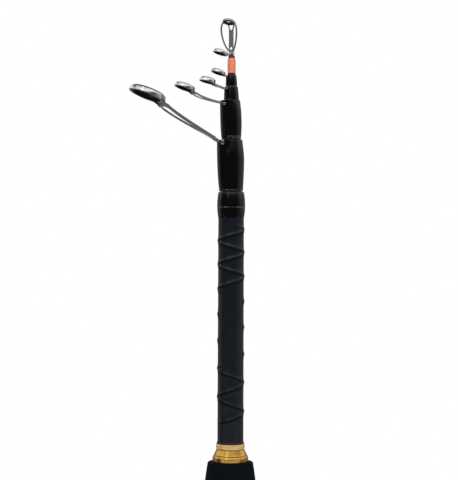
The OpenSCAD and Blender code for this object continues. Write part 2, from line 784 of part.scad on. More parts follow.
// Leg of the guide of section k from its foot in the winding to the hoop: a bent strip cut to its plan
module leg(k, gap) {
    i = k - 2;
    line = leg_line(k);
    last = leg_steps;
    half = leg_t[i] / 2 + gap;
    side = [for (j = [0:last])
        let (along = unit(line[min(j + 1, last)] - line[max(j - 1, 0)])) half * [along[1], -along[0]]];
    run = leg_run(k) + leg_t[i];
    foot_w = leg_foot_w[i] + 2 * gap;
    top_w = leg_top_w[i] + 2 * gap;
    intersection() {
        rotate([90, 0, 0])
        linear_extrude(top_w + 2 * over, center = true)
        polygon([
            for (j = [0:last]) line[j] + side[j],
            for (j = [last:-1:0]) line[j] - side[j]
        ]);
        translate([leg_foot(k)[0], 0, line[0][1] - guide_d[i]])
        linear_extrude(leg_len(k) + 3 * guide_d[i])
        mirror([1, 0])
        difference() {
            polygon([
                [-half, -foot_w / 2],
                [run, -top_w / 2],
                [run, top_w / 2],
                [-half, foot_w / 2]
            ]);
            if (gap == 0 && k <= 4)
                leg_slot(k);
        }
    }
}

module leg_slot(k) {
    i = k - 2;
    low_r = slot_foot_w[i] / 2;
    high_r = slot_top_w[i] / 2;
    low = slot_start[i] + low_r;
    high = leg_run(k) - slot_neck[i];
    round_r = high_r / 2;
    translate([low, 0])
    circle(r = low_r);
    polygon([[low, -low_r], [high - round_r, -high_r], [high - round_r, high_r], [low, low_r]]);
    translate([high - round_r, round_r - high_r])
    square([round_r, 2 * (high_r - round_r)]);
    for (side = [-1, 1])
        translate([high - round_r, side * (high_r - round_r)])
        circle(r = round_r);
}

// Puts a hoop or ring that was drawn round the origin on the guide of section k
module on_guide(k) {
    translate([hoop_centre(k)[0], 0, hoop_centre(k)[1]])
    rotate([0, guide_tilt[k - 2], 0])
    children();
}

module hoop(d, w, depth) {
    rotate_extrude()
    translate([(d - w) / 2, 0])
    polygon(round_box(w, depth, w * hoop_round));
}

module insert_ring(seat, w, depth) {
    rotate_extrude()
    translate([seat - fit - w / 2, 0])
    polygon(round_box(w, depth + 2 * ring_proud, w * ring_round));
}

// Metal frame of the guide of section k: tube, clasps, leg and hoop
module guide(k) {
    i = k - 2;
    color("#c9ccd0")
    difference() {
        union() {
            tube(winding_bore(k) + tube_wall[i], winding_bore(k), rim(k) - tube_len[i], rim(k));
            if (k <= 4)
                clasps(k, 0, 0);
            leg(k, 0);
            on_guide(k)
            hoop(guide_d[i], hoop_wall[i], hoop_depth[i]);
        }
        on_guide(k)
        cylinder(r = ring_seat_r(k), h = 4 * hoop_depth[i], center = true);
        translate([0, 0, rim(k) - tube_len[i] - over])
        cylinder(r = winding_bore(k), h = tube_len[i] + 2 * over);
    }
}

module guide_ring(k) {
    color("#15161a")
    on_guide(k)
    insert_ring(ring_seat_r(k), ring_wall[k - 2], hoop_depth[k - 2]);
}

// Butt section
module butt_blank() {
    color("#101113")
    blank(1, blank_z + fit);
}

module butt_winding() {
    color("#0d0e10")
    difference() {
        winding_body(1);
        trim_band(1, butt_winding_z + butt_trim_at, fit, over);
    }
}

module butt_trim() {
    color("#8c7f45")
    trim_band(1, butt_winding_z + butt_trim_at, 0, 0);
}

// Drawn sections
module section_blank(k) {
    color("#101113")
    blank(k, rest_z);
}

module section_2_winding() {
    color("#0d0e10")
    difference() {
        guide_winding(2);
        trim_band(2, winding_z(2) + trim_at[0], fit, over);
    }
}

module section_2_trim() {
    color("#9a9573")
    trim_band(2, winding_z(2) + trim_at[0], 0, 0);
}

module section_3_winding() {
    color("#0d0e10")
    difference() {
        guide_winding(3);
        for (i = [0, 1])
            trim_band(3, winding_z(3) + trim_at[1] + i * trim_pitch, fit, over);
    }
}

module section_3_trim() {
    color("#9a9573")
    for (i = [0, 1])
        trim_band(3, winding_z(3) + trim_at[1] + i * trim_pitch, 0, 0);
}

module section_4_winding() {
    color("#0d0e10")
    guide_winding(4);
}

module section_5_winding() {
    color("#0d0e10")
    guide_winding(5);
}

// Bright winding of section 6, between two dark whippings
module section_6_winding() {
    foot = winding_z(6) + whipping_h[0];
    head = winding_top(6) - whipping_h[1];
    color("#f0703c")
    intersection() {
        guide_winding(6);
        translate([-cap_d / 2, -cap_d / 2, foot])
        cube([cap_d, cap_d, head - foot]);
    }
}

module section_6_whipping() {
    color("#3a1512")
    difference() {
        guide_winding(6);
        translate([-cap_d / 2, -cap_d / 2, winding_z(6) + whipping_h[0]])
        cube([cap_d, cap_d, winding_top(6) - winding_z(6) - whipping_h[0] - whipping_h[1]]);
    }
}

// Solid tip
module tip_blank() {
    color("#e8e4da")
    translate([0, 0, rest_z])
    cylinder(r1 = tip_heel_r, r2 = tip_heel_r - taper * (tip_end_z - rest_z), h = tip_end_z - rest_z);
}

// Draws in the frame of the tip guide, whose hoop leans towards -X of that frame
module on_tip() {
    rotate([0, 0, tip_turn])
    children();
}

module on_tip_hoop() {
    on_tip()
    translate([-tip_reach, 0, tip_hoop_z])
    rotate([0, tip_tilt, 0])
    children();
}

tip_ring_seat_r = tip_guide_d / 2 - tip_hoop_wall;
tip_mid_r = (tip_guide_d - tip_hoop_wall) / 2;

// Side wire of the tip guide along a cubic curve from the boss to the side of the hoop
module tip_wire(side) {
    start = tip_z + tip_boss_h - tip_wire_d / 2;
    route = [
        [-tip_wire_d / 2, side * (tip_boss_d - tip_wire_d) / 3, start],
        [-(tip_reach + tip_wire_lead) / 2, side * (tip_mid_r + tip_wire_bow / 3), start + tip_rise / 6],
        [-tip_reach - tip_wire_lead, side * (tip_mid_r + tip_wire_bow), start + tip_rise * 5 / 6],
        [-tip_reach, side * tip_mid_r, tip_hoop_z]
    ];
    skin([
        for (i = [0:wire_steps])
            let (p = cubic(route, i / wire_steps))
            let (along = unit(cubic(route, i / wire_steps + 0.01) - cubic(route, i / wire_steps - 0.01)))
            let (across = unit(cross(along, [1, 0, 0])), up = cross(across, along))
            [for (j = [0:wire_sides - 1])
                let (a = 360 * j / wire_sides)
                p + tip_wire_d / 2 * (cos(a) * across + sin(a) * up)]
    ]);
}

// Middle bar of the tip guide, forked at the hoop and at the boss
module tip_bar() {
    half = tip_bar_w / 2;
    foot = tip_z + tip_boss_h;
    head = tip_hoop_z - tip_mid_r * sin(tip_tilt);
    slot = tip_bar_w - 2 * tip_prong_w;
    fork = head - tip_prong_len;
    lean = tip_mid_r * cos(tip_tilt);
    translate([lean - tip_reach - tip_bar_t / 2, 0, 0])
    rotate([90, 0, 90])
    linear_extrude(tip_bar_t)
    difference() {
        polygon([
            [-half, foot - tip_boss_h / 2],
            [half, foot - tip_boss_h / 2],
            [half, fork],
            [half + tip_prong_w, head],
            [-half - tip_prong_w, head],
            [-half, fork]
        ]);
        polygon([
            [-slot / 2, fork + slot / 2],
            [slot / 2, fork + slot / 2],
            [half, head + over],
            [-half, head + over]
        ]);
        translate([0, fork + slot / 2])
        circle(d = slot);
        translate([-slot / 2, foot])
        square([slot, slot / 2]);
        translate([0, foot + slot / 2])
        circle(d = slot);
    }
}

module tip_top_frame() {
    color("#c9ccd0")
    difference() {
        union() {
            translate([0, 0, tip_z])
            cylinder(d = tip_boss_d, h = tip_boss_h);
            translate([0, 0, tip_tube_z])
            cylinder(r = tip_tube_r, h = tip_tube_len + tip_boss_h);
            on_tip() {
                tip_wire(1);
                tip_wire(-1);
                tip_bar();
            }
            on_tip_hoop()
            hoop(tip_guide_d, tip_hoop_wall, tip_hoop_depth);
        }
        on_tip_hoop()
        cylinder(r = tip_ring_seat_r, h = 3 * tip_hoop_depth, center = true);
        translate([0, 0, tip_tube_z - over])
        cylinder(
            r = tip_heel_r - taper * (tip_tube_z - rest_z) + fit,
            h = tip_end_z - tip_tube_z + over + fit
        );
    }
}

module tip_top_ring() {
    color("#15161a")
    on_tip_hoop()
    insert_ring(tip_ring_seat_r, tip_ring_wall, tip_hoop_depth);
}

butt_pad();
butt_cap();
cap_bumper();
cap_washer();
butt_ferrule();
rear_grip();
rear_trim_ring();
reel_seat();
seat_arbor();
fixed_hood();
sliding_hood();
lock_nut();
foregrip();
fore_collar();
collar_seal();
grip_sleeve();
grip_ribs();
butt_blank();
butt_winding();
butt_trim();
section_blank(2);  // section_2_blank
section_2_winding();
section_2_trim();
guide(2);  // section_2_guide
guide_ring(2);  // section_2_ring
section_blank(3);  // section_3_blank
section_3_winding();
section_3_trim();
guide(3);  // section_3_guide
guide_ring(3);  // section_3_ring
section_blank(4);  // section_4_blank
section_4_winding();
guide(4);  // section_4_guide
guide_ring(4);  // section_4_ring
section_blank(5);  // section_5_blank
section_5_winding();
guide(5);  // section_5_guide
guide_ring(5);  // section_5_ring
section_blank(6);  // section_6_blank
section_6_winding();
section_6_whipping();
guide(6);  // section_6_guide
guide_ring(6);  // section_6_ring
tip_blank();
tip_top_frame();
tip_top_ring();
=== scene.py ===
"""Visual model of a closed telescopic fishing rod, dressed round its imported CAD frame.

All sizes are millimetres and degrees in the part's own frame: +Z along the rod, guides towards -X.
"""

from __future__ import annotations

import json
import logging
import math
from collections.abc import Callable, Sequence
from dataclasses import dataclass
from enum import Enum
from functools import cache

import bmesh
import bpy
from mathutils import Matrix, Vector

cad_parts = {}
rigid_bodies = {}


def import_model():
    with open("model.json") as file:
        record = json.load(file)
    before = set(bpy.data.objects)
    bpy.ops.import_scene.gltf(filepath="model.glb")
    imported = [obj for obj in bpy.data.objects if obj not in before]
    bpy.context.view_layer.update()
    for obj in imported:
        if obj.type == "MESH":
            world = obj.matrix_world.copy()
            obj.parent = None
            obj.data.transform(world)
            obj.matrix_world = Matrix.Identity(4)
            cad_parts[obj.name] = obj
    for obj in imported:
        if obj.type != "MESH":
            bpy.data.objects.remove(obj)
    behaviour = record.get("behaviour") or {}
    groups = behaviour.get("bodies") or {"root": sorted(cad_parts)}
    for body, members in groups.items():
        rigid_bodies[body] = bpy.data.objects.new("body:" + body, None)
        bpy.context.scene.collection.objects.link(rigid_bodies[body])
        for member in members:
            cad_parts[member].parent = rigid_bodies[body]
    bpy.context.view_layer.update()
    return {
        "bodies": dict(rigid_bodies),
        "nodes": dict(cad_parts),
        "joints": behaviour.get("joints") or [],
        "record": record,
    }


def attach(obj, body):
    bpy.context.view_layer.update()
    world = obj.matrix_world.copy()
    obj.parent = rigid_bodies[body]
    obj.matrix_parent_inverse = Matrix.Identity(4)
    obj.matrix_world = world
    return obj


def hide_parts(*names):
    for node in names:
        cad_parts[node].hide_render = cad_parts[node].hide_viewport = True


LOG = logging.getLogger("rod")
MM = 0.001
TURN = 2 * math.pi
GUIDE_SIDE = 180.0  # direction of the guides round the rod, in degrees
WEAR_GRAIN = 180.0  # patches of wear in a metre of metal
RING_ROUND = 0.48  # radius of a ring's corners as a share of its wall

Point = tuple[float, float]
Colour = tuple[float, float, float, float]
Shape = Callable[[float, float, float], float]
Number = "Sock | float"


class Sock:
    """Output of a shader node that takes part in formulas."""

    def __init__(self, shader: Shader, socket: bpy.types.NodeSocket) -> None:
        """Keeps the socket and the shader that owns it."""
        self.shader = shader
        self.socket = socket

    def __add__(self, other: Number) -> Sock:
        """Sum."""
        return self.shader.math("ADD", self, other)

    def __radd__(self, other: Number) -> Sock:
        """Sum with a number on the left."""
        return self.shader.math("ADD", other, self)

    def __sub__(self, other: Number) -> Sock:
        """Difference."""
        return self.shader.math("SUBTRACT", self, other)

    def __rsub__(self, other: Number) -> Sock:
        """Difference with a number on the left."""
        return self.shader.math("SUBTRACT", other, self)

    def __mul__(self, other: Number) -> Sock:
        """Product."""
        return self.shader.math("MULTIPLY", self, other)

    def __rmul__(self, other: Number) -> Sock:
        """Product with a number on the left."""
        return self.shader.math("MULTIPLY", other, self)

    def __truediv__(self, other: Number) -> Sock:
        """Quotient."""
        return self.shader.math("DIVIDE", self, other)

    def __rtruediv__(self, other: Number) -> Sock:
        """Quotient with a number on the left."""
        return self.shader.math("DIVIDE", other, self)

    def __neg__(self) -> Sock:
        """Opposite."""
        return self.shader.math("MULTIPLY", self, -1.0)

    def sine(self) -> Sock:
        """Sine."""
        return self.shader.math("SINE", self)

    def part(self) -> Sock:
        """Fractional part."""
        return self.shader.math("FRACT", self)

    def above(self, edge: Number) -> Sock:
        """One where the value is over the edge, and zero elsewhere."""
        return self.shader.math("GREATER_THAN", self, edge)

    def rise(self, low: float, high: float) -> Sock:
        """Straight rise from zero at low to one at high."""
        return ((self - low) / (high - low)).limited()

    def limited(self) -> Sock:
        """Value held between zero and one."""
        return self.shader.math("MINIMUM", self.shader.math("MAXIMUM", self, 0.0), 1.0)


class Shader:
    """Node tree with short ways to add its nodes."""

    def __init__(self, tree: bpy.types.NodeTree) -> None:
        """Empties the tree."""
        self.tree = tree
        self.tree.nodes.clear()

    def node(
        self,
        kind: str,
        settings: dict[str, object] | None = None,
        sockets: dict[str | int, object] | None = None,
    ) -> bpy.types.Node:
        """Adds a node.

        Args:
            kind: Blender's name of the node's type.
            settings: Properties of the node, which are set first.
            sockets: Input names or numbers, and the value or Sock that each one gets.

        Returns:
            The new node.
        """
        made = self.tree.nodes.new(kind)
        for key, value in (settings or {}).items():
            setattr(made, key, value)
        for key, value in (sockets or {}).items():
            self.feed(made.inputs[key], value)
        return made

    def feed(self, target: bpy.types.NodeSocket, value: object) -> None:
        """Links a Sock to an input, or sets the input's own value.

        Args:
            target: Input socket.
            value: Sock, number or tuple.
        """
        if isinstance(value, Sock):
            self.tree.links.new(value.socket, target)
        else:
            target.default_value = value

    def out(self, node: bpy.types.Node, name: str | int = 0) -> Sock:
        """Output of a node as a Sock."""
        return Sock(self, node.outputs[name])

    def math(self, operation: str, first: Number, second: Number = 0.0) -> Sock:
        """Math node of one or two values."""
        return self.out(self.node("ShaderNodeMath", {"operation": operation}, {0: first, 1: second}))

    def point(self, kind: str = "Object") -> Sock:
        """Place in the object's own coordinates in metres, or another kind of coordinates."""
        return self.out(self.node("ShaderNodeTexCoord"), kind)

    def dot(self, vector: Sock, direction: Vector) -> Sock:
        """Share of a vector that lies along a direction."""
        sockets = {0: vector, 1: tuple(direction)}
        return self.out(self.node("ShaderNodeVectorMath", {"operation": "DOT_PRODUCT"}, sockets), "Value")

    def scaled(self, vector: Sock, scale: tuple[float, float, float]) -> Sock:
        """Vector stretched along each axis."""
        return self.out(self.node("ShaderNodeVectorMath", {"operation": "MULTIPLY"}, {0: vector, 1: scale}))

    def axes(self, vector: Sock) -> tuple[Sock, Sock, Sock]:
        """Splits a vector.

        Args:
            vector: Vector to split.

        Returns:
            Its X, Y and Z.
        """
        split = self.node("ShaderNodeSeparateXYZ", None, {0: vector})
        return self.out(split, 0), self.out(split, 1), self.out(split, 2)

    def noise(self, vector: Sock, scale: float, detail: float = 3.0) -> Sock:
        """Noise from zero to one.

        Args:
            vector: Place, in metres.
            scale: Number of grains in a metre.
            detail: Octaves.

        Returns:
            The noise.
        """
        sockets = {"Vector": vector, "Scale": scale, "Detail": detail, "Roughness": 0.55}
        return self.out(self.node("ShaderNodeTexNoise", None, sockets), 0)

    def cells(self, vector: Sock, scale: float) -> Sock:
        """Distance to the nearest of scattered cells."""
        return self.out(self.node("ShaderNodeTexVoronoi", None, {"Vector": vector, "Scale": scale}), 0)

    def blend(self, share: Number, first: object, second: object) -> Sock:
        """Colour between two colours.

        Args:
            share: Zero for the first colour and one for the second.
            first: Colour or Sock.
            second: Colour or Sock.

        Returns:
            The blended colour.
        """
        settings = {"data_type": "RGBA", "clamp_factor": True}
        return self.out(self.node("ShaderNodeMix", settings, {0: share, 6: first, 7: second}), 2)

    def bump(self, height: Sock, depth: float, strength: float = 1.0) -> Sock:
        """Normal of a fine relief.

        Args:
            height: Height from zero to one.
            depth: Depth of the relief in millimetres.
            strength: Share of the relief that is used.

        Returns:
            The normal.
        """
        sockets = {"Strength": strength, "Distance": depth * MM, "Height": height}
        return self.out(self.node("ShaderNodeBump", None, sockets), 0)

    def surface(self, sockets: dict[str | int, object]) -> None:
        """Ends the tree with a Principled surface.

        Args:
            sockets: Inputs of the surface.
        """
        body = self.node("ShaderNodeBsdfPrincipled", None, sockets)
        self.node("ShaderNodeOutputMaterial", None, {"Surface": self.out(body)})


def rgb(red: float, green: float, blue: float) -> Colour:
    """Opaque linear colour."""
    return (red, green, blue, 1.0)


@dataclass(frozen=True)
class Finish:
    """Base of the finishes: a named material between a light and a dark colour."""

    name: str
    light: Colour
    dark: Colour

    def build(self) -> bpy.types.Material:
        """Makes the material.

        Returns:
            The material.
        """
        made = bpy.data.materials.new(self.name)
        made.use_nodes = True
        self.paint(Shader(made.node_tree))
        return made

    def paint(self, shader: Shader) -> None:
        """Fills the tree of the material; each finish has its own."""
        raise NotImplementedError


@dataclass(frozen=True)
class VarnishedThread(Finish):
    """Rod winding of fine thread under thick clear varnish."""

    pitch: float = 0.28
    roughness: float = 0.09
    specular: float = 0.5
    coat: float = 0.08
    wander_grain: float = 420.0
    wave_grain: float = 160.0

    def paint(self, shader: Shader) -> None:
        """Thread lines round the rod, with a slightly uneven coat.

        Args:
            shader: Tree of the material.
        """
        place = shader.point()
        _, _, height = shader.axes(place)
        lines = (height * (TURN / (self.pitch * MM))).sine() * 0.5 + 0.5
        wander = shader.noise(place, self.wander_grain)
        waves = shader.noise(shader.scaled(place, (1.0, 1.0, 0.4)), self.wave_grain, detail=1.0)
        shader.surface({
            "Base Color": shader.blend((lines * 0.6 + wander * 0.4).limited(), self.dark, self.light),
            "Roughness": self.roughness + wander * 0.05,
            "Specular IOR Level": self.specular,
            "Coat Weight": self.coat * (0.6 + waves * 0.8),
            "Coat Roughness": 0.05,
            "Normal": shader.bump(lines * 0.15 + waves, depth=0.06, strength=0.5),
        })


@dataclass(frozen=True)
class TrimThread(Finish):
    """Metallic trim thread under varnish, with painted glints: its base colour breaks into short light
    dashes on a nearly black ground.
    """

    glint_grain: float = 1500.0
    glint_edge: Point = (0.40, 0.62)
    fine_grain: float = 4000.0

    def paint(self, shader: Shader) -> None:
        """Short painted glints along the thread, in the base colour.

        Args:
            shader: Tree of the material.
        """
        place = shader.point()
        # painted glints: light dashes of base colour stand in for highlights on the thread
        painted_glints = shader.noise(shader.scaled(place, (1.0, 1.0, 0.3)), self.glint_grain, detail=1.0)
        grain = shader.noise(place, self.fine_grain)
        shader.surface({
            "Base Color": shader.blend(painted_glints.rise(*self.glint_edge), self.dark, self.light),
            "Metallic": 0.9,
            "Roughness": 0.3 + grain * 0.15,
            "Normal": shader.bump(grain, depth=0.01, strength=0.5),
        })


@dataclass(frozen=True)
class CarbonTube(Finish):
    """Wound carbon blank under clear varnish."""

    tape: float = 2.2
    grain: float = 2400.0

    def paint(self, shader: Shader) -> None:
        """Faint slanted bands of the tape that pressed the wrap.

        Args:
            shader: Tree of the material.
        """
        place = shader.point()
        across, along, height = shader.axes(place)
        turn = shader.math("ARCTAN2", along, across) / TURN
        band = (height / (self.tape * MM) + turn).part()
        grain = shader.noise(shader.scaled(place, (1.0, 1.0, 0.06)), self.grain)
        shader.surface({
            "Base Color": shader.blend((grain * 0.7 + band * 0.3).limited(), self.dark, self.light),
            "Roughness": 0.16 + grain * 0.12,
            "Coat Weight": 0.5 + band * 0.3,
            "Coat Roughness": 0.06,
            "Normal": shader.bump(band, depth=0.02, strength=0.4),
        })


@dataclass(frozen=True)
class PolishedMetal(Finish):
    """Metal with fine polishing or turning marks."""

    roughness: float
    marks: tuple[float, float, float] = (1.0, 1.0, 1.0)
    grain: float = 900.0
    depth: float = 0.01
    spread: float = 0.10

    def paint(self, shader: Shader) -> None:
        """Marks that can be drawn out along one direction, and a little wear.

        Args:
            shader: Tree of the material.
        """
        place = shader.point()
        marks = shader.noise(shader.scaled(place, self.marks), self.grain, detail=2.0)
        wear = shader.noise(place, WEAR_GRAIN)
        shader.surface({
            "Base Color": shader.blend(wear, self.dark, self.light),
            "Metallic": 1.0,
            "Roughness": self.roughness + marks * self.spread + wear * 0.03,
            "Normal": shader.bump(marks, depth=self.depth, strength=0.5),
        })


@dataclass(frozen=True)
class TurnedGold(Finish):
    """Gold anodised collar, polished but for the satin band at its head."""

    satin: Colour
    band_z: float
    band_edge: float = 0.1
    ring_grain: float = 3000.0

    def paint(self, shader: Shader) -> None:
        """Fine turning rings, with a paler and rougher band.

        Args:
            shader: Tree of the material.
        """
        place = shader.point()
        _, _, height = shader.axes(place)
        rings = shader.noise(shader.scaled(place, (0.05, 0.05, 1.0)), self.ring_grain, detail=2.0)
        wear = shader.noise(place, WEAR_GRAIN)
        band = (height / MM).rise(self.band_z - self.band_edge, self.band_z + self.band_edge)
        shader.surface({
            "Base Color": shader.blend(band, shader.blend(wear, self.dark, self.light), self.satin),
            "Metallic": 1.0 - band * 0.35,
            "Roughness": 0.14 + rings * 0.06 + band * 0.16,
            "Normal": shader.bump(rings, depth=0.004, strength=0.5),
        })


@dataclass(frozen=True)
class BlackCeramic(Finish):
    """Polished black ring of a line guide."""

    grain: float = 2200.0

    def paint(self, shader: Shader) -> None:
        """Nearly black, with the faintest grain.

        Args:
            shader: Tree of the material.
        """
        grain = shader.noise(shader.point(), self.grain)
        shader.surface({
            "Base Color": shader.blend(grain, self.dark, self.light),
            "Roughness": 0.10 + grain * 0.08,
            "Specular IOR Level": 0.15,
            "Normal": shader.bump(grain, depth=0.002, strength=0.4),
        })


@dataclass(frozen=True)
class ShrinkSkin(Finish):
    """Matte shrink sleeve with a fine moulded grain, and painted shade under its ridges."""

    painted_shade_colour: Colour
    painted_shade_edge: Point = (0.05, 0.20)
    grain: float = 5200.0
    cloud_grain: float = 240.0

    def paint(self, shader: Shader) -> None:
        """Bluish black with a soft sheen, and painted shade: the base colour darkens where the surface faces
        down, under the ridges.

        Args:
            shader: Tree of the material.
        """
        place = shader.point()
        # painted shade: where the normal faces down, under the ridges, the base colour turns to the shade
        # colour and the surface gets rougher
        _, _, facing_up = shader.axes(shader.point("Normal"))
        under = (-facing_up).rise(*self.painted_shade_edge)
        grain = shader.noise(place, self.grain, detail=2.0)
        cloud = shader.noise(place, self.cloud_grain)
        shader.surface({
            "Base Color": shader.blend(under, shader.blend(cloud, self.dark, self.light), self.painted_shade_colour),
            "Roughness": 0.22 + cloud * 0.06 + grain * 0.05 + under * 0.25,
            "Specular IOR Level": 0.35,
            "Normal": shader.bump(grain, depth=0.012, strength=0.5),
        })


@dataclass(frozen=True)
class FoamSkin(Finish):
    """Ground closed-cell foam."""

    cell_grain: float = 1500.0
    ring_grain: float = 1300.0
    cloud_grain: float = 130.0

    def paint(self, shader: Shader) -> None:
        """Cut cells and faint grinding rings.

        Args:
            shader: Tree of the material.
        """
        place = shader.point()
        cells = shader.cells(place, self.cell_grain)
        rings = shader.noise(shader.scaled(place, (0.1, 0.1, 1.0)), self.ring_grain, detail=2.0)
        cloud = shader.noise(place, self.cloud_grain)
        shader.surface({
            "Base Color": shader.blend((cells * 0.6 + cloud * 0.4).limited(), self.dark, self.light),
            "Roughness": 0.78 + cells * 0.15,
            "Specular IOR Level": 0.12,
            "Normal": shader.bump(cells * 0.8 + rings * 0.2, depth=0.10, strength=0.6),
        })


@dataclass(frozen=True)
class MouldedPlastic(Finish):
    """Satin plastic, anodised black metal or rubber with a fine grain."""

    roughness: float
    grain: float = 2600.0
    depth: float = 0.02
    metallic: float = 0.0
    cloud_grain: float = 150.0

    def paint(self, shader: Shader) -> None:
        """Fine grain with faint clouds of wear.

        Args:
            shader: Tree of the material.
        """
        place = shader.point()
        grain = shader.noise(place, self.grain, detail=2.0)
        cloud = shader.noise(place, self.cloud_grain)
        shader.surface({
            "Base Color": shader.blend((cloud * 0.7 + grain * 0.3).limited(), self.dark, self.light),
            "Metallic": self.metallic,
            "Roughness": self.roughness + cloud * 0.08 + grain * 0.06,
            "Normal": shader.bump(grain, depth=self.depth, strength=0.5),
        })


class Look(Enum):
    """Finishes of the rod, each with the record's slot for it."""

    CARBON = ("carbon", CarbonTube("carbon_tube", rgb(0.030, 0.032, 0.036), rgb(0.006, 0.006, 0.008)))
    TIP = ("glass_tip", MouldedPlastic("tip_glass", rgb(0.80, 0.76, 0.66), rgb(0.62, 0.58, 0.48), 0.25))
    BLACK = (
        "black_winding",
        VarnishedThread(
            "black_thread", rgb(0.0022, 0.0022, 0.0025), rgb(0.0008, 0.0008, 0.0010),
            roughness=0.06, coat=0.03,
        ),
    )
    ORANGE = (
        "orange_winding",
        VarnishedThread(
            "orange_thread", rgb(0.67, 0.210, 0.135), rgb(0.60, 0.158, 0.092),
            roughness=0.25, specular=0.25,
        ),
    )
    RED = ("red_whipping", VarnishedThread("red_thread", rgb(0.085, 0.014, 0.010), rgb(0.022, 0.006, 0.005)))
    # light is the colour of the painted glints, dark the nearly black ground between them
    TRIM = ("trim_thread", TrimThread("trim_glints", rgb(0.42, 0.39, 0.30), rgb(0.020, 0.017, 0.012)))
    STEEL = (
        "guide_steel",
        PolishedMetal(
            "polished_steel", rgb(0.86, 0.87, 0.89), rgb(0.76, 0.77, 0.79),
            roughness=0.15, depth=0.002, spread=0.04,
        ),
    )
    SATIN = (
        "guide_steel",
        PolishedMetal(
            "satin_steel", rgb(0.66, 0.67, 0.69), rgb(0.60, 0.61, 0.63),
            roughness=0.36, depth=0.0004,
        ),
    )
    RING = ("guide_ring", BlackCeramic("black_ceramic", rgb(0.006, 0.006, 0.007), rgb(0.002, 0.002, 0.0025)))
    SLEEVE = (
        "sleeve",
        ShrinkSkin(
            "shrink_skin", rgb(0.0068, 0.0090, 0.0120), rgb(0.0040, 0.0056, 0.0078),
            # colour of the painted shade under the ridges
            painted_shade_colour=rgb(0.0004, 0.0005, 0.0007),
        ),
    )
    GOLD = (
        "collar_gold",
        TurnedGold(
            "gold_collar", rgb(0.68, 0.39, 0.10), rgb(0.56, 0.31, 0.06),
            satin=rgb(0.93, 0.62, 0.25), band_z=292.4,
        ),
    )
    SEAL = ("seal", MouldedPlastic("dark_seal", rgb(0.030, 0.020, 0.014), rgb(0.012, 0.009, 0.007), 0.35))
    FOAM = ("foam", FoamSkin("ground_foam", rgb(0.0026, 0.0042, 0.0058), rgb(0.0010, 0.0019, 0.0028)))
    SEAT = (
        "seat_black",
        MouldedPlastic("seat_plastic", rgb(0.026, 0.027, 0.030), rgb(0.013, 0.014, 0.016), 0.28),
    )
    ARBOR = ("arbor", MouldedPlastic("arbor_foam", rgb(0.17, 0.17, 0.16), rgb(0.10, 0.10, 0.095), 0.8))
    HOOD = (
        "hood_steel",
        PolishedMetal(
            "hood_metal", rgb(0.62, 0.63, 0.65), rgb(0.50, 0.51, 0.53),
            roughness=0.24, marks=(0.04, 0.04, 1.0), grain=2600.0,
        ),
    )
    KNOB = (
        "knob_black",
        MouldedPlastic("knob_metal", rgb(0.050, 0.052, 0.056), rgb(0.022, 0.023, 0.026), 0.30, metallic=0.7),
    )
    FERRULE = (
        "ferrule",
        PolishedMetal(
            "ferrule_metal", rgb(0.60, 0.61, 0.62), rgb(0.48, 0.49, 0.50),
            roughness=0.3, marks=(0.05, 0.05, 1.0), grain=2400.0,
        ),
    )
    PAD = (
        "pad_rubber",
        MouldedPlastic("soft_rubber", rgb(0.022, 0.022, 0.022), rgb(0.010, 0.010, 0.010), 0.7),
    )

    def __init__(self, slot: str, finish: Finish) -> None:
        """Keeps the record's slot and the finish."""
        self.slot = slot
        self.finish = finish

    @cache
    def material(self) -> bpy.types.Material:
        """The look's material, which is made at its first use."""
        return self.finish.build()


def put(name: str, data: bpy.types.ID) -> bpy.types.Object:
    """Adds an object to the scene.

    Args:
        name: Name of the object.
        data: Its mesh, light or camera.

    Returns:
        The new object.
    """
    obj = bpy.data.objects.new(name, data)
    bpy.context.scene.collection.objects.link(obj)
    return obj


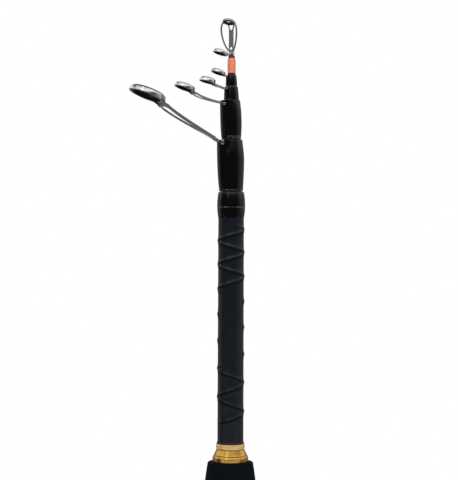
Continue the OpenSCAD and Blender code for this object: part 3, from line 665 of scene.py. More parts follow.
class Shell:
    """Vertices and faces of one piece while it is being made, in millimetres."""

    MERGE = 2e-7  # metres within which points become one
    SLIVER = 1e-8  # metres under which an edge is dissolved
    STEEP = 0.98  # cosine over which a wire's upward direction is chosen anew

    def __init__(self) -> None:
        """Starts empty."""
        self.points: list[Vector] = []
        self.faces: list[tuple[int, ...]] = []

    def grid(self, rows: Sequence[Sequence[Vector]], wrap: bool) -> None:
        """Adds quads between rows of points.

        Args:
            rows: Rows with the same count of points.
            wrap: True if each row is a closed loop.
        """
        start, width = len(self.points), len(rows[0])
        for row in rows:
            self.points.extend(row)
        for i in range(len(rows) - 1):
            for j in range(width if wrap else width - 1):
                here, beside = start + i * width + j, start + i * width + (j + 1) % width
                self.faces.append((here, beside, beside + width, here + width))

    def cap(self, loop: Sequence[Vector], flip: bool = False) -> None:
        """Adds one face over a loop of points.

        Args:
            loop: Points of the loop.
            flip: True to turn the face over.
        """
        start = len(self.points)
        self.points.extend(loop)
        order = tuple(range(start, start + len(loop)))
        self.faces.append(order[::-1] if flip else order)

    def bar(self, rows: Sequence[Sequence[Vector]]) -> None:
        """Adds a bar with closed ends.

        Args:
            rows: Cross-sections of the bar, as loops with the same count of points.
        """
        self.grid(rows, wrap=True)
        self.cap(rows[0])
        self.cap(rows[-1], flip=True)

    def turn(
        self,
        profile: Sequence[Point],
        steps: int = 96,
        place: Matrix | None = None,
        shape: Shape | None = None,
        closed: bool = False,
    ) -> None:
        """Adds a turned surface round Z.

        Args:
            profile: Points (radius, height), upwards along the outside.
            steps: Points round the turn.
            place: Where the surface goes.
            shape: Radius from the angle in degrees, the radius and the height.
            closed: True if the profile is a closed loop.
        """
        rows = []
        for radius, height in [*profile, profile[0]] if closed else profile:
            row = []
            for j in range(steps):
                angle = 360.0 * j / steps
                r = shape(angle, radius, height) if shape else radius
                p = Vector((r * math.cos(math.radians(angle)), r * math.sin(math.radians(angle)), height))
                row.append(place @ p if place else p)
            rows.append(row)
        self.grid(rows, wrap=True)

    def sweep(self, path: Sequence[Vector], radius: float, sides: int = 12, closed: bool = False) -> None:
        """Adds a round wire along a path.

        Args:
            path: Points of the wire's middle.
            radius: Radius of the wire.
            sides: Points round the wire.
            closed: True if the wire is a loop.
        """
        count = len(path)
        up = Vector((0.0, 0.0, 1.0))
        rows = []
        for i, p in enumerate(path):
            before = path[(i - 1) % count] if closed or i else p
            after = path[(i + 1) % count] if closed or i < count - 1 else p
            along = (after - before).normalized()
            if abs(along.dot(up)) > self.STEEP:
                up = Vector((1.0, 0.0, 0.0))
            side = along.cross(up).normalized()
            up = side.cross(along).normalized()
            rows.append([
                p + radius * (math.cos(TURN * j / sides) * side - math.sin(TURN * j / sides) * up)
                for j in range(sides)
            ])
        if closed:
            self.grid([*rows, rows[0]], wrap=True)
        else:
            self.bar(rows)

    def piece(
        self,
        name: str,
        look: Look,
        body: str,
        nodes: Sequence[str],
        smooth: float = 35.0,
    ) -> bpy.types.Object:
        """Turns the shell into a piece of the rod.

        Args:
            name: Name of the piece.
            look: Finish of the piece.
            body: CAD body that carries it.
            nodes: CAD nodes that it stands for.
            smooth: Angle in degrees under which edges look smooth.

        Returns:
            The new object.
        """
        mesh = bpy.data.meshes.new(name)
        mesh.from_pydata([p * MM for p in self.points], [], self.faces)
        made = bmesh.new()
        made.from_mesh(mesh)
        bmesh.ops.remove_doubles(made, verts=made.verts, dist=self.MERGE)
        bmesh.ops.dissolve_degenerate(made, edges=made.edges, dist=self.SLIVER)
        bmesh.ops.recalc_face_normals(made, faces=made.faces)
        made.to_mesh(mesh)
        made.free()
        mesh.shade_smooth()
        mesh.set_sharp_from_angle(angle=math.radians(smooth))
        mesh.materials.append(look.material())
        obj = put(name, mesh)
        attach(obj, body)
        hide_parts(*nodes)
        LOG.info("%s made", name)
        return obj


def arc(radius: float, start: float, end: float, centre: Point, steps: int = 8) -> list[Point]:
    """Points of an arc.

    Args:
        radius: Radius.
        start: First angle in degrees.
        end: Last angle in degrees.
        centre: Middle of the arc.
        steps: Steps from end to end.

    Returns:
        The points in order.
    """
    angles = [math.radians(start + (end - start) * i / steps) for i in range(steps + 1)]
    return [(centre[0] + radius * math.cos(a), centre[1] + radius * math.sin(a)) for a in angles]


def line(start: Point, end: Point, steps: int) -> list[Point]:
    """Points of a straight line.

    Args:
        start: First point.
        end: Last point.
        steps: Steps from end to end.

    Returns:
        The points in order.
    """
    shares = [i / steps for i in range(steps + 1)]
    return [(start[0] + (end[0] - start[0]) * s, start[1] + (end[1] - start[1]) * s) for s in shares]


def quarter(steps: int) -> list[float]:
    """Angles of a quarter turn in radians."""
    return [math.pi / 2 * i / steps for i in range(steps + 1)]


def round_box(width: float, height: float, radius: float, steps: int = 6) -> list[Point]:
    """Rectangle with round corners about the origin, anticlockwise from its right side.

    Args:
        width: Width.
        height: Height.
        radius: Radius of the corners.
        steps: Steps of a corner.

    Returns:
        The points in order.
    """
    w, h = width / 2 - radius, height / 2 - radius
    corners = ((0, w, h), (90, -w, h), (180, -w, -h), (270, w, -h))
    return [p for a, x, y in corners for p in arc(radius, a, a + 90, (x, y), steps)]


def barrel(
    bore: float,
    ends: Point,
    edge: float,
    radius: Callable[[float], float],
    rows: int,
) -> list[Point]:
    """Outside of a turned piece with round edges.

    Args:
        bore: Radius where its lower face starts.
        ends: Heights of its lower and upper face.
        edge: Radius of its edges.
        radius: Radius of its side at a height.
        rows: Rows of its side.

    Returns:
        Profile, upwards.
    """
    low, high = ends[0] + edge, ends[1] - edge
    heights = [low + (high - low) * i / rows for i in range(1, rows)]
    return [
        (bore, ends[0]),
        *arc(edge, -90, 0, (radius(low) - edge, low)),
        *((radius(z), z) for z in heights),
        *arc(edge, 0, 90, (radius(high) - edge, high)),
    ]


def shifted(points: Sequence[Point], right: float, up: float) -> list[Point]:
    """Points moved to the right and up."""
    return [(x + right, y + up) for x, y in points]


def smoothstep(low: float, high: float, value: float) -> float:
    """Smooth rise from zero at low to one at high."""
    t = min(max((value - low) / (high - low), 0.0), 1.0)
    return t * t * (3 - 2 * t)


def angle_from(angle: float, middle: float) -> float:
    """Signed difference of two angles in degrees, from -180 to 180."""
    return (angle - middle + 180.0) % 360.0 - 180.0


def soften(obj: bpy.types.Object, width: float, segments: int, limit: float) -> None:
    """Rounds the sharp edges of a piece.

    Args:
        obj: Piece.
        width: Width of the rounding in millimetres.
        segments: Steps of the rounding.
        limit: Angle in degrees from which an edge counts as sharp.
    """
    edges = obj.modifiers.new("edges", "BEVEL")
    edges.width = width * MM
    edges.segments = segments
    edges.limit_method = "ANGLE"
    edges.angle_limit = math.radians(limit)


@dataclass
class Sections:
    """Sizes of the nested tubes and of their windings, as in the CAD source.

    Only fuller adds to the CAD: it makes the windings of sections 2 and 6 a little fuller.
    """

    butt_rim: float = 459.4
    rest: float = 29.7
    butt_top_r: float = 7.85
    taper: float = 0.001
    clearance: float = 0.05
    walls: tuple[float, ...] = (1.0, 1.0, 0.8, 0.65, 0.55, 0.45)
    overlaps: tuple[float, ...] = (95, 85, 75, 65, 60, 55)
    stand_out: tuple[float, ...] = (34.1, 25.7, 8.8, 7.8, 14.6)
    gap: float = 0.3
    fit: float = 0.02
    butt_winding_z: float = 442.5
    foot_t: tuple[float, ...] = (0.5, 1.13, 1.19, 1.15, 1.06, 1.07)
    belly_t: tuple[float, ...] = (1.23, 1.59, 1.62, 0.84, 0.91, 0.97)
    fuller: tuple[float, ...] = (0.0, 0.4, 0.0, 0.0, 0.0, 0.2)
    fuller_high: float = 1.7
    rim_t: tuple[float, ...] = (0.36, 0.72, 0.55, 0.45, 0.5, 0.55)
    bare: tuple[float, ...] = (0.5, 0.5, 0.5, 0.5, 2.7)
    tube_wall: tuple[float, ...] = (0.5, 0.36, 0.28, 0.3, 0.36)

    def rim(self, k: int) -> float:
        """Height of the rim of section k."""
        return self.butt_rim + sum(self.stand_out[: k - 1])

    def top_r(self, k: int) -> float:
        """Radius of the tube of section k at its rim."""
        return self.butt_top_r if k == 1 else self.heel_r(k) - self.taper * (self.rim(k) - self.rest)

    def heel_r(self, k: int) -> float:
        """Radius of the tube of section k at its lower end."""
        above = self.top_r(k - 1) - self.walls[k - 2]
        return above + self.taper * self.overlaps[k - 2] - self.clearance

    def blank_r(self, k: int, z: float) -> float:
        """Radius of the tube of section k at a height."""
        return self.top_r(k) + self.taper * (self.rim(k) - z)

    def foot(self, k: int) -> float:
        """Height of the foot of the winding of section k."""
        return self.butt_winding_z if k == 1 else self.rim(k - 1) + self.gap

    def head(self, k: int) -> float:
        """Height of the head of the winding of section k."""
        return self.butt_rim if k == 1 else self.rim(k) - self.bare[k - 2]

    def bore(self, k: int) -> float:
        """Radius of the bore of the winding of section k."""
        return self.blank_r(k, self.foot(k)) + self.fit

    def winding_r(self, k: int, z: float) -> float:
        """Radius of the winding of section k at a height.

        Args:
            k: Section.
            z: Height.

        Returns:
            The radius without the swelling over the foot of the guide.
        """
        u = (z - self.foot(k)) / (self.head(k) - self.foot(k))
        foot, belly, rim = self.foot_t[k - 1], self.belly_t[k - 1], self.rim_t[k - 1]
        bulge = belly - (foot + rim) / 2
        fuller = self.fuller[k - 1] * math.sin(math.pi * max(u, 0.0) ** self.fuller_high) ** 2
        return self.bore(k) + foot * (1 - u) + rim * u + 4 * bulge * u * (1 - u) + fuller


@dataclass(frozen=True)
class Mound:
    """Swelling of a winding over the foot of its guide."""

    height: float
    half: float
    fall: float
    blend: float = 0.9

    def radius(self, angle: float, plain: float, head_r: float, down: float) -> float:
        """Radius of the winding with the swelling.

        Args:
            angle: Angle round the rod in degrees.
            plain: Radius without the swelling.
            head_r: Radius of the winding at its head.
            down: Distance from the head as a share of the winding's length.

        Returns:
            The radius, with a soft passage at the sides.
        """
        off = math.radians(angle_from(angle, GUIDE_SIDE))
        out = head_r + self.height - self.half
        half = self.half - self.fall * (1 - math.sqrt(max(1 - down * down, 0.0)))
        room = half**2 - (out * math.sin(off)) ** 2
        if abs(off) > math.pi / 2 or room <= 0.0:
            return plain
        crest = out * math.cos(off) + math.sqrt(room)
        near = max(self.blend - abs(crest - plain), 0.0) / self.blend
        return max(crest, plain) + near * near * self.blend / 4


@dataclass
class Windings:
    """Varnished windings at the rims of the sections."""

    sections: Sections
    edge: float = 0.4
    edge_steps: int = 5
    spare: float = 0.1
    rows: int = 40
    steps: int = 160
    whipping: float = 1.3
    low_whipping: float = 0.5
    varnish: float = 0.05
    fillet: float = 0.1
    bare: float = 0.1

    MOUNDS = {
        2: Mound(height=2.35, half=6.2, fall=2.4),
        3: Mound(height=2.0, half=5.4, fall=1.6),
        4: Mound(height=0.65, half=2.4, fall=0.3),
        5: Mound(height=0.6, half=2.0, fall=0.2),
    }

    def build(self) -> None:
        """Makes the windings of all sections."""
        for k in range(1, 6):
            shell = Shell()
            self.add(shell, k, self.sections.foot(k), self.sections.head(k))
            name = "butt" if k == 1 else f"section_{k}"
            shell.piece(f"{name}_winding_skin", Look.BLACK, name, [f"{name}_winding"])
        low, high = self.sections.foot(6), self.sections.head(6)
        bright, dark = Shell(), Shell()
        self.add(bright, 6, low + self.low_whipping, high - self.whipping)
        self.add(dark, 6, low, low + self.low_whipping)
        self.add(dark, 6, high - self.whipping, high)
        bright.piece("section_6_winding_skin", Look.ORANGE, "section_6", ["section_6_winding"])
        dark.piece("section_6_whipping_skin", Look.RED, "section_6", ["section_6_whipping"])

    def add(self, shell: Shell, k: int, low: float, high: float) -> None:
        """Adds the skin of one winding or of a part of it.

        Args:
            shell: Shell that gets the skin.
            k: Section.
            low: Height of its foot.
            high: Height of its head.
        """
        sections = self.sections
        edge = min(self.edge, (sections.rim_t[k - 1] - self.spare) / 2, (high - low) / 4)
        bore = sections.bore(k)
        foot_r, head_r = sections.winding_r(k, low), sections.winding_r(k, high)
        profile = [(bore, low), *arc(edge, -90, 0, (foot_r - edge, low + edge), self.edge_steps)]
        for i in range(1, self.rows):
            z = low + edge + (high - low - 2 * edge) * i / self.rows
            profile.append((sections.winding_r(k, z), z))
        profile += arc(edge, 0, 90, (head_r - edge, high - edge), self.edge_steps)
        if 2 <= k <= 5:
            tube_r = bore + sections.tube_wall[k - 2] + self.varnish
            top = sections.rim(k) - self.bare
            profile += [
                (tube_r + self.fillet, high + self.fillet / 2),
                (tube_r, high + self.fillet * 1.5),
                (tube_r, top),
                (bore, top),
            ]
        else:
            profile.append((bore, high))
        mound = self.MOUNDS.get(k)

        def swell(angle: float, radius: float, height: float) -> float:
            """Radius with the swelling over the foot of the guide.

            Args:
                angle: Angle round the rod in degrees.
                radius: Radius without it.
                height: Height along the rod.

            Returns:
                The radius there.
            """
            if not mound or radius <= bore or height > high:
                return radius
            return mound.radius(angle, radius, head_r, min((high - height) / (high - low), 1.0))

        shell.turn(profile, self.steps, shape=swell)


@dataclass
class RibbedSleeve:
    """Shrink sleeve over two crossed cords, with a smooth place on its front."""

    sections: Sections
    low: float = 297.2
    high: float = 442.5
    thickness: float = 0.44
    start: float = 7.2
    turns: float = 7.45
    pitch_top: float = 14.6
    pitch_base: float = 19.4
    heading: float = -17.0
    lap: float = 4.0
    run_in: Point = (-0.3, 0.1)
    run_out: float = 0.15
    rib_h: float = 0.55
    rib_half: float = 1.5
    rib_power: float = 1.25
    front: float = 253.0
    bare_half: float = 58.0
    bare_fade: float = 16.0
    bare_low: float = 351.0
    bare_high: float = 391.0
    bare_fade_z: float = 7.0
    steps: int = 200
    rows: int = 480

    def turn_at(self, z: float) -> float:
        """Turns of the cords from their start down to a height.

        Args:
            z: Height along the rod.

        Returns:
            Turns, below zero over the start.
        """
        growth = (self.pitch_base - self.pitch_top) / self.turns
        root = self.pitch_top**2 + 2 * growth * (self.high - self.start - z)
        return (math.sqrt(root) - self.pitch_top) / growth

    def relief(self, angle: float, z: float) -> float:
        """Height of the skin over the plain sleeve.

        Args:
            angle: Angle round the rod in degrees.
            z: Height along the rod.

        Returns:
            Height in millimetres.
        """
        turn = self.turn_at(z)
        if not self.run_in[0] <= turn <= self.turns:
            return 0.0
        pitch = self.pitch_top + (self.pitch_base - self.pitch_top) * turn / self.turns
        ends = smoothstep(*self.run_in, turn) * smoothstep(self.turns, self.turns - self.run_out, turn)
        ridge = 0.0
        for hand in (1.0, -1.0):
            middle = self.heading + hand * (360.0 * turn - self.lap)
            away = abs(angle_from(angle, middle)) / 360.0 * pitch / self.rib_half
            ridge = max(ridge, math.exp(-(away**self.rib_power)))
        inside = smoothstep(self.bare_low - self.bare_fade_z, self.bare_low, z)
        inside *= smoothstep(self.bare_high + self.bare_fade_z, self.bare_high, z)
        aside = abs(angle_from(angle, self.front))
        facing = smoothstep(self.bare_half + self.bare_fade, self.bare_half, aside)
        return self.rib_h * ridge * ends * (1 - inside * facing)

    def build(self) -> None:
        """Makes the sleeve."""
        shell = Shell()

        def radius(z: float) -> float:
            """Radius of the plain sleeve at a height."""
            return self.sections.blank_r(1, z) + self.thickness

        profile = [(radius(self.low) - self.thickness, self.low)]
        for i in range(self.rows + 1):
            z = self.low + (self.high - self.low) * i / self.rows
            profile.append((radius(z), z))
        profile.append((radius(self.high) - self.thickness, self.high))
        plain = {profile[0][0], profile[-1][0]}
        shell.turn(
            profile,
            self.steps,
            shape=lambda angle, r, z: r if r in plain else r + self.relief(angle, z),
        )
        shell.piece("grip_skin", Look.SLEEVE, "butt", ["grip_sleeve", "grip_ribs"], smooth=60.0)


@dataclass
class Handle:
    """Collar, grips, reel seat and butt end.

    The collar's points are radius and height over its foot; groove_half is a share of the pitch.
    """

    sections: Sections
    edge: float = 1.0
    grip_z: float = 16.2
    grip_top: float = 102.2
    grip_r: float = 14.0
    grip_edge: float = 3.0
    grip_fit: float = 0.1
    seat_z: float = 105.2
    seat_top: float = 209.2
    seat_r: float = 12.5
    seat_wall: float = 2.2
    seat_rows: int = 430
    thread_z: float = 150.0
    thread_pitch: float = 2.5
    thread_depth: float = 0.7
    thread_start: float = 2.0
    groove_half: float = 0.276923
    bed_low: float = 112.2
    bed_high: float = 192.9
    bed_depth: float = 0.8
    bed_side: float = -0.05
    collar_z: float = 284.2
    collar_h: float = 11.7
    skirt_r: float = 11.6
    skirt_h: float = 2.7
    skirt_edge: float = 0.3
    bead_edge: float = 0.2
    bead_lean: float = 16.0
    bead_foot: Point = (11.28, 3.75)
    bead_middle: Point = (10.98, 3.9)
    bead_head: Point = (10.85, 4.2)
    flare_foot: Point = (10.8, 4.5)
    flare_head: Point = (9.15, 7.9)
    groove_r: float = 8.4
    groove_z: Point = (7.95, 8.45)
    band_r: float = 9.25
    band_z: float = 8.48
    band_edges: Point = (0.18, 0.45)
    seal_h: float = 1.3
    seal_t: float = 0.85
    seal_edge: float = 0.3
    foregrip_top_r: float = 14.7
    foregrip_r: float = 17.3
    foregrip_base_r: float = 14.0
    foregrip_swell: float = 26.0
    nut_z: float = 193.2
    nut_len: float = 13.0
    nut_r: float = 15.6
    nut_gap: float = 0.06
    nut_flutes: int = 20
    cap_h: float = 15.0
    cap_r: float = 13.3
    cap_edge: float = 0.8
    cap_flutes: int = 24
    recess_z: float = 3.02
    recess_edge: float = 0.3
    pad_proud: float = 1.0
    pad_r: float = 11.1
    spigot_r: float = 7.64
    spigot_top: float = 27.2
    flute_depth: float = 0.6
    flute_half: float = 1.15
    flute_end: float = 1.2
    flute_fade: float = 1.0
    side_slack: float = 0.05

    def build(self) -> None:
        """Makes the pieces that the CAD shows too plainly."""
        self.collar()
        self.foregrip()
        self.rear_grip()
        self.reel_seat()
        self.knobs()

    def collar(self) -> None:
        """Gold collar with band, groove, flare, bead and skirt, and the dark ring on it."""
        bore = self.sections.blank_r(1, self.collar_z) + self.sections.fit
        low_edge, high_edge = self.band_edges
        profile = [
            (bore, 0.0),
            *arc(self.skirt_edge, -90, 0, (self.skirt_r - self.skirt_edge, self.skirt_edge)),
            *arc(self.bead_edge, 0, self.bead_lean, (self.skirt_r - self.bead_edge, self.skirt_h)),
            self.bead_foot,
            *arc(self.bead_edge, self.bead_lean, 90, self.bead_middle),
            self.bead_head,
            *line(self.flare_foot, self.flare_head, steps=4),
            *((self.groove_r, z) for z in self.groove_z),
            *arc(low_edge, -90, 0, (self.band_r - low_edge, self.band_z + low_edge)),
            *arc(high_edge, 0, 90, (self.band_r - high_edge, self.collar_h - high_edge)),
            (bore, self.collar_h),
        ]
        shell = Shell()
        shell.turn(shifted(profile, 0.0, self.collar_z), steps=160)
        shell.piece("fore_collar_turned", Look.GOLD, "butt", ["fore_collar"], smooth=30.0)
        seal = Shell()
        seal_z = self.collar_z + self.collar_h
        ring = round_box(self.seal_t, self.seal_h, self.seal_edge)
        middle = (bore + self.seal_t / 2, seal_z + self.seal_h / 2)
        seal.turn(shifted(ring, *middle), steps=120, closed=True)
        seal.piece("collar_seal_ring", Look.SEAL, "butt", ["collar_seal"])

    def foregrip_at(self, z: float) -> float:
        """Radius of the swelling grip.

        Args:
            z: Height along the rod.

        Returns:
            The radius there.
        """
        top, belly, base = self.foregrip_top_r, self.foregrip_r, self.foregrip_base_r
        down = self.collar_z - z
        if down < self.foregrip_swell:
            return top + (belly - top) * math.sin(math.pi / 2 * down / self.foregrip_swell)
        fall = self.collar_z - self.seat_top - self.foregrip_swell
        return base + (belly - base) * (1 + math.cos(math.pi * (down - self.foregrip_swell) / fall)) / 2

    def foregrip(self) -> None:
        """Swelling foam grip."""
        bore = self.sections.blank_r(1, self.seat_top) + self.sections.fit
        profile = barrel(bore, (self.seat_top, self.collar_z), self.edge, self.foregrip_at, rows=90)
        shell = Shell()
        shell.turn([*profile, (bore, self.collar_z)], steps=140)
        shell.piece("foregrip_foam", Look.FOAM, "butt", ["foregrip"])

    def rear_grip(self) -> None:
        """Straight foam grip with round ends."""
        bore = self.sections.blank_r(1, self.grip_z) + self.grip_fit
        ends = (self.grip_z, self.grip_top)
        profile = barrel(bore, ends, self.grip_edge, lambda _z: self.grip_r, rows=40)
        shell = Shell()
        shell.turn([*profile, (bore, self.grip_top)], steps=140)
        shell.piece("rear_grip_foam", Look.FOAM, "butt", ["rear_grip"])

    def seat_at(self, angle: float, radius: float, z: float) -> float:
        """Radius of the reel seat with the thread and the bed.

        Args:
            angle: Angle round the rod in degrees.
            radius: Radius without them.
            z: Height along the rod.

        Returns:
            The radius there.
        """
        if radius <= self.seat_r - self.seat_wall:
            return radius
        if z > self.thread_z:
            turn = ((z - self.thread_z) / self.thread_pitch + angle / 360.0) % 1.0
            depth = self.thread_depth * smoothstep(self.thread_z, self.thread_z + self.thread_start, z)
            radius -= depth * (1 - min(1.0, min(turn, 1 - turn) / self.groove_half))
        across = math.cos(math.radians(angle))
        if self.bed_low < z < self.bed_high and across < self.bed_side:
            radius = min(radius, (self.seat_r - self.bed_depth) / -across)
        return radius

    def reel_seat(self) -> None:
        """Barrel with a screw thread over its upper part and a flat bed for the reel foot."""
        bore = self.seat_r - self.seat_wall
        side = line((self.seat_r, self.seat_z), (self.seat_r, self.seat_top), self.seat_rows)
        shell = Shell()
        shell.turn(
            [(bore, self.seat_top), (bore, self.seat_z), *side, (bore, self.seat_top)],
            steps=144,
            shape=self.seat_at,
        )
        shell.piece("reel_seat_barrel", Look.SEAT, "butt", ["reel_seat"], smooth=40.0)

    def knobs(self) -> None:
        """Fluted lock nut and butt cap."""
        nut = Shell()
        bore, low, high = self.seat_r + self.nut_gap, self.nut_z, self.nut_z + self.nut_len
        profile = barrel(bore, (low, high), self.edge, lambda _z: self.nut_r, rows=30)
        profile += [(bore, high), (bore, low)]
        shape = self.flutes(self.nut_flutes, self.nut_r, (low, high))
        nut.turn(profile, steps=20 * self.nut_flutes, shape=shape)
        nut.piece("lock_nut_knob", Look.KNOB, "lock_nut", ["lock_nut"])
        cap = Shell()
        low, high = self.pad_proud, self.cap_h
        recess_r = self.pad_r + self.sections.fit
        foot_r = self.pad_r + self.recess_edge
        profile = [
            (0.0, self.recess_z),
            (recess_r, self.recess_z),
            (recess_r, low),
            *barrel(foot_r, (low, high), self.cap_edge, lambda _z: self.cap_r, rows=30),
            (self.spigot_r, high),
            (self.spigot_r, self.spigot_top),
            (0.0, self.spigot_top),
        ]
        shape = self.flutes(self.cap_flutes, self.cap_r, (low, high))
        cap.turn(profile, steps=16 * self.cap_flutes, shape=shape)
        cap.piece("butt_cap_knob", Look.KNOB, "butt_cap", ["butt_cap"])

    def flutes(self, count: int, radius: float, ends: Point) -> Shape:
        """Shape of the finger flutes of a knob.

        Args:
            count: Number of flutes.
            radius: Outside radius of the knob.
            ends: Heights of its lower and upper face.

        Returns:
            Radius from angle, radius and height.
        """
        low, high = ends[0] + self.flute_end, ends[1] - self.flute_end

        def shape(angle: float, r: float, z: float) -> float:
            """Radius with the flutes.

            Args:
                angle: Angle round the rod in degrees.
                r: Radius without them.
                z: Height along the rod.

            Returns:
                The radius there.
            """
            if r < radius - self.side_slack:
                return r
            away = abs((angle * count / 360.0 + 0.5) % 1.0 - 0.5) * TURN * radius / count
            inside = smoothstep(low, low + self.flute_fade, z) * smoothstep(high, high - self.flute_fade, z)
            return r - self.flute_depth * inside * math.sqrt(max(0.0, 1 - (away / self.flute_half) ** 2))

        return shape


@dataclass(frozen=True)
class Slot:
    """Long opening in the leg of a guide; lengths are measured across the rod."""

    END = 0.001  # just past the end of the slot

    start: float
    neck: float
    foot_w: float
    top_w: float

    def half(self, across: float, run: float) -> float:
        """Half breadth of the slot.

        Args:
            across: Distance from the foot of the leg.
            run: Distance from the foot of the leg to the hoop.

        Returns:
            Half breadth, zero outside the slot.
        """
        low_r, high_r = self.foot_w / 2, self.top_w / 2
        low, high, corner = self.start + low_r, run - self.neck, high_r / 2
        if across <= low:
            return math.sqrt(max(low_r**2 - (across - low) ** 2, 0.0))
        if across >= high:
            return 0.0
        if across > high - corner:
            return high_r - corner + math.sqrt(max(corner**2 - (across - high + corner) ** 2, 0.0))
        return low_r + (high_r - low_r) * (across - low) / (high - corner - low)

    def stations(self, run: float) -> set[float]:
        """Places where the slot's outline needs points.

        Args:
            run: Distance from the foot of the leg to the hoop.

        Returns:
            Distances from the foot of the leg.
        """
        low_r, corner = self.foot_w / 2, self.top_w / 4
        low, high = self.start + low_r, run - self.neck
        foot = {low - low_r * math.cos(a) for a in quarter(6)}
        top = {high - corner + corner * math.sin(a) for a in quarter(8)}
        return foot | top | {high + self.END}


@dataclass(frozen=True)
class Clasp:
    """Wire loop on the winding beside the foot of a guide."""

    height: float
    breadth: float
    angle: float
    sink: float = 0.0
    wire_share: float = 0.24
    proud: float = 0.35
    ease: float = 0.02


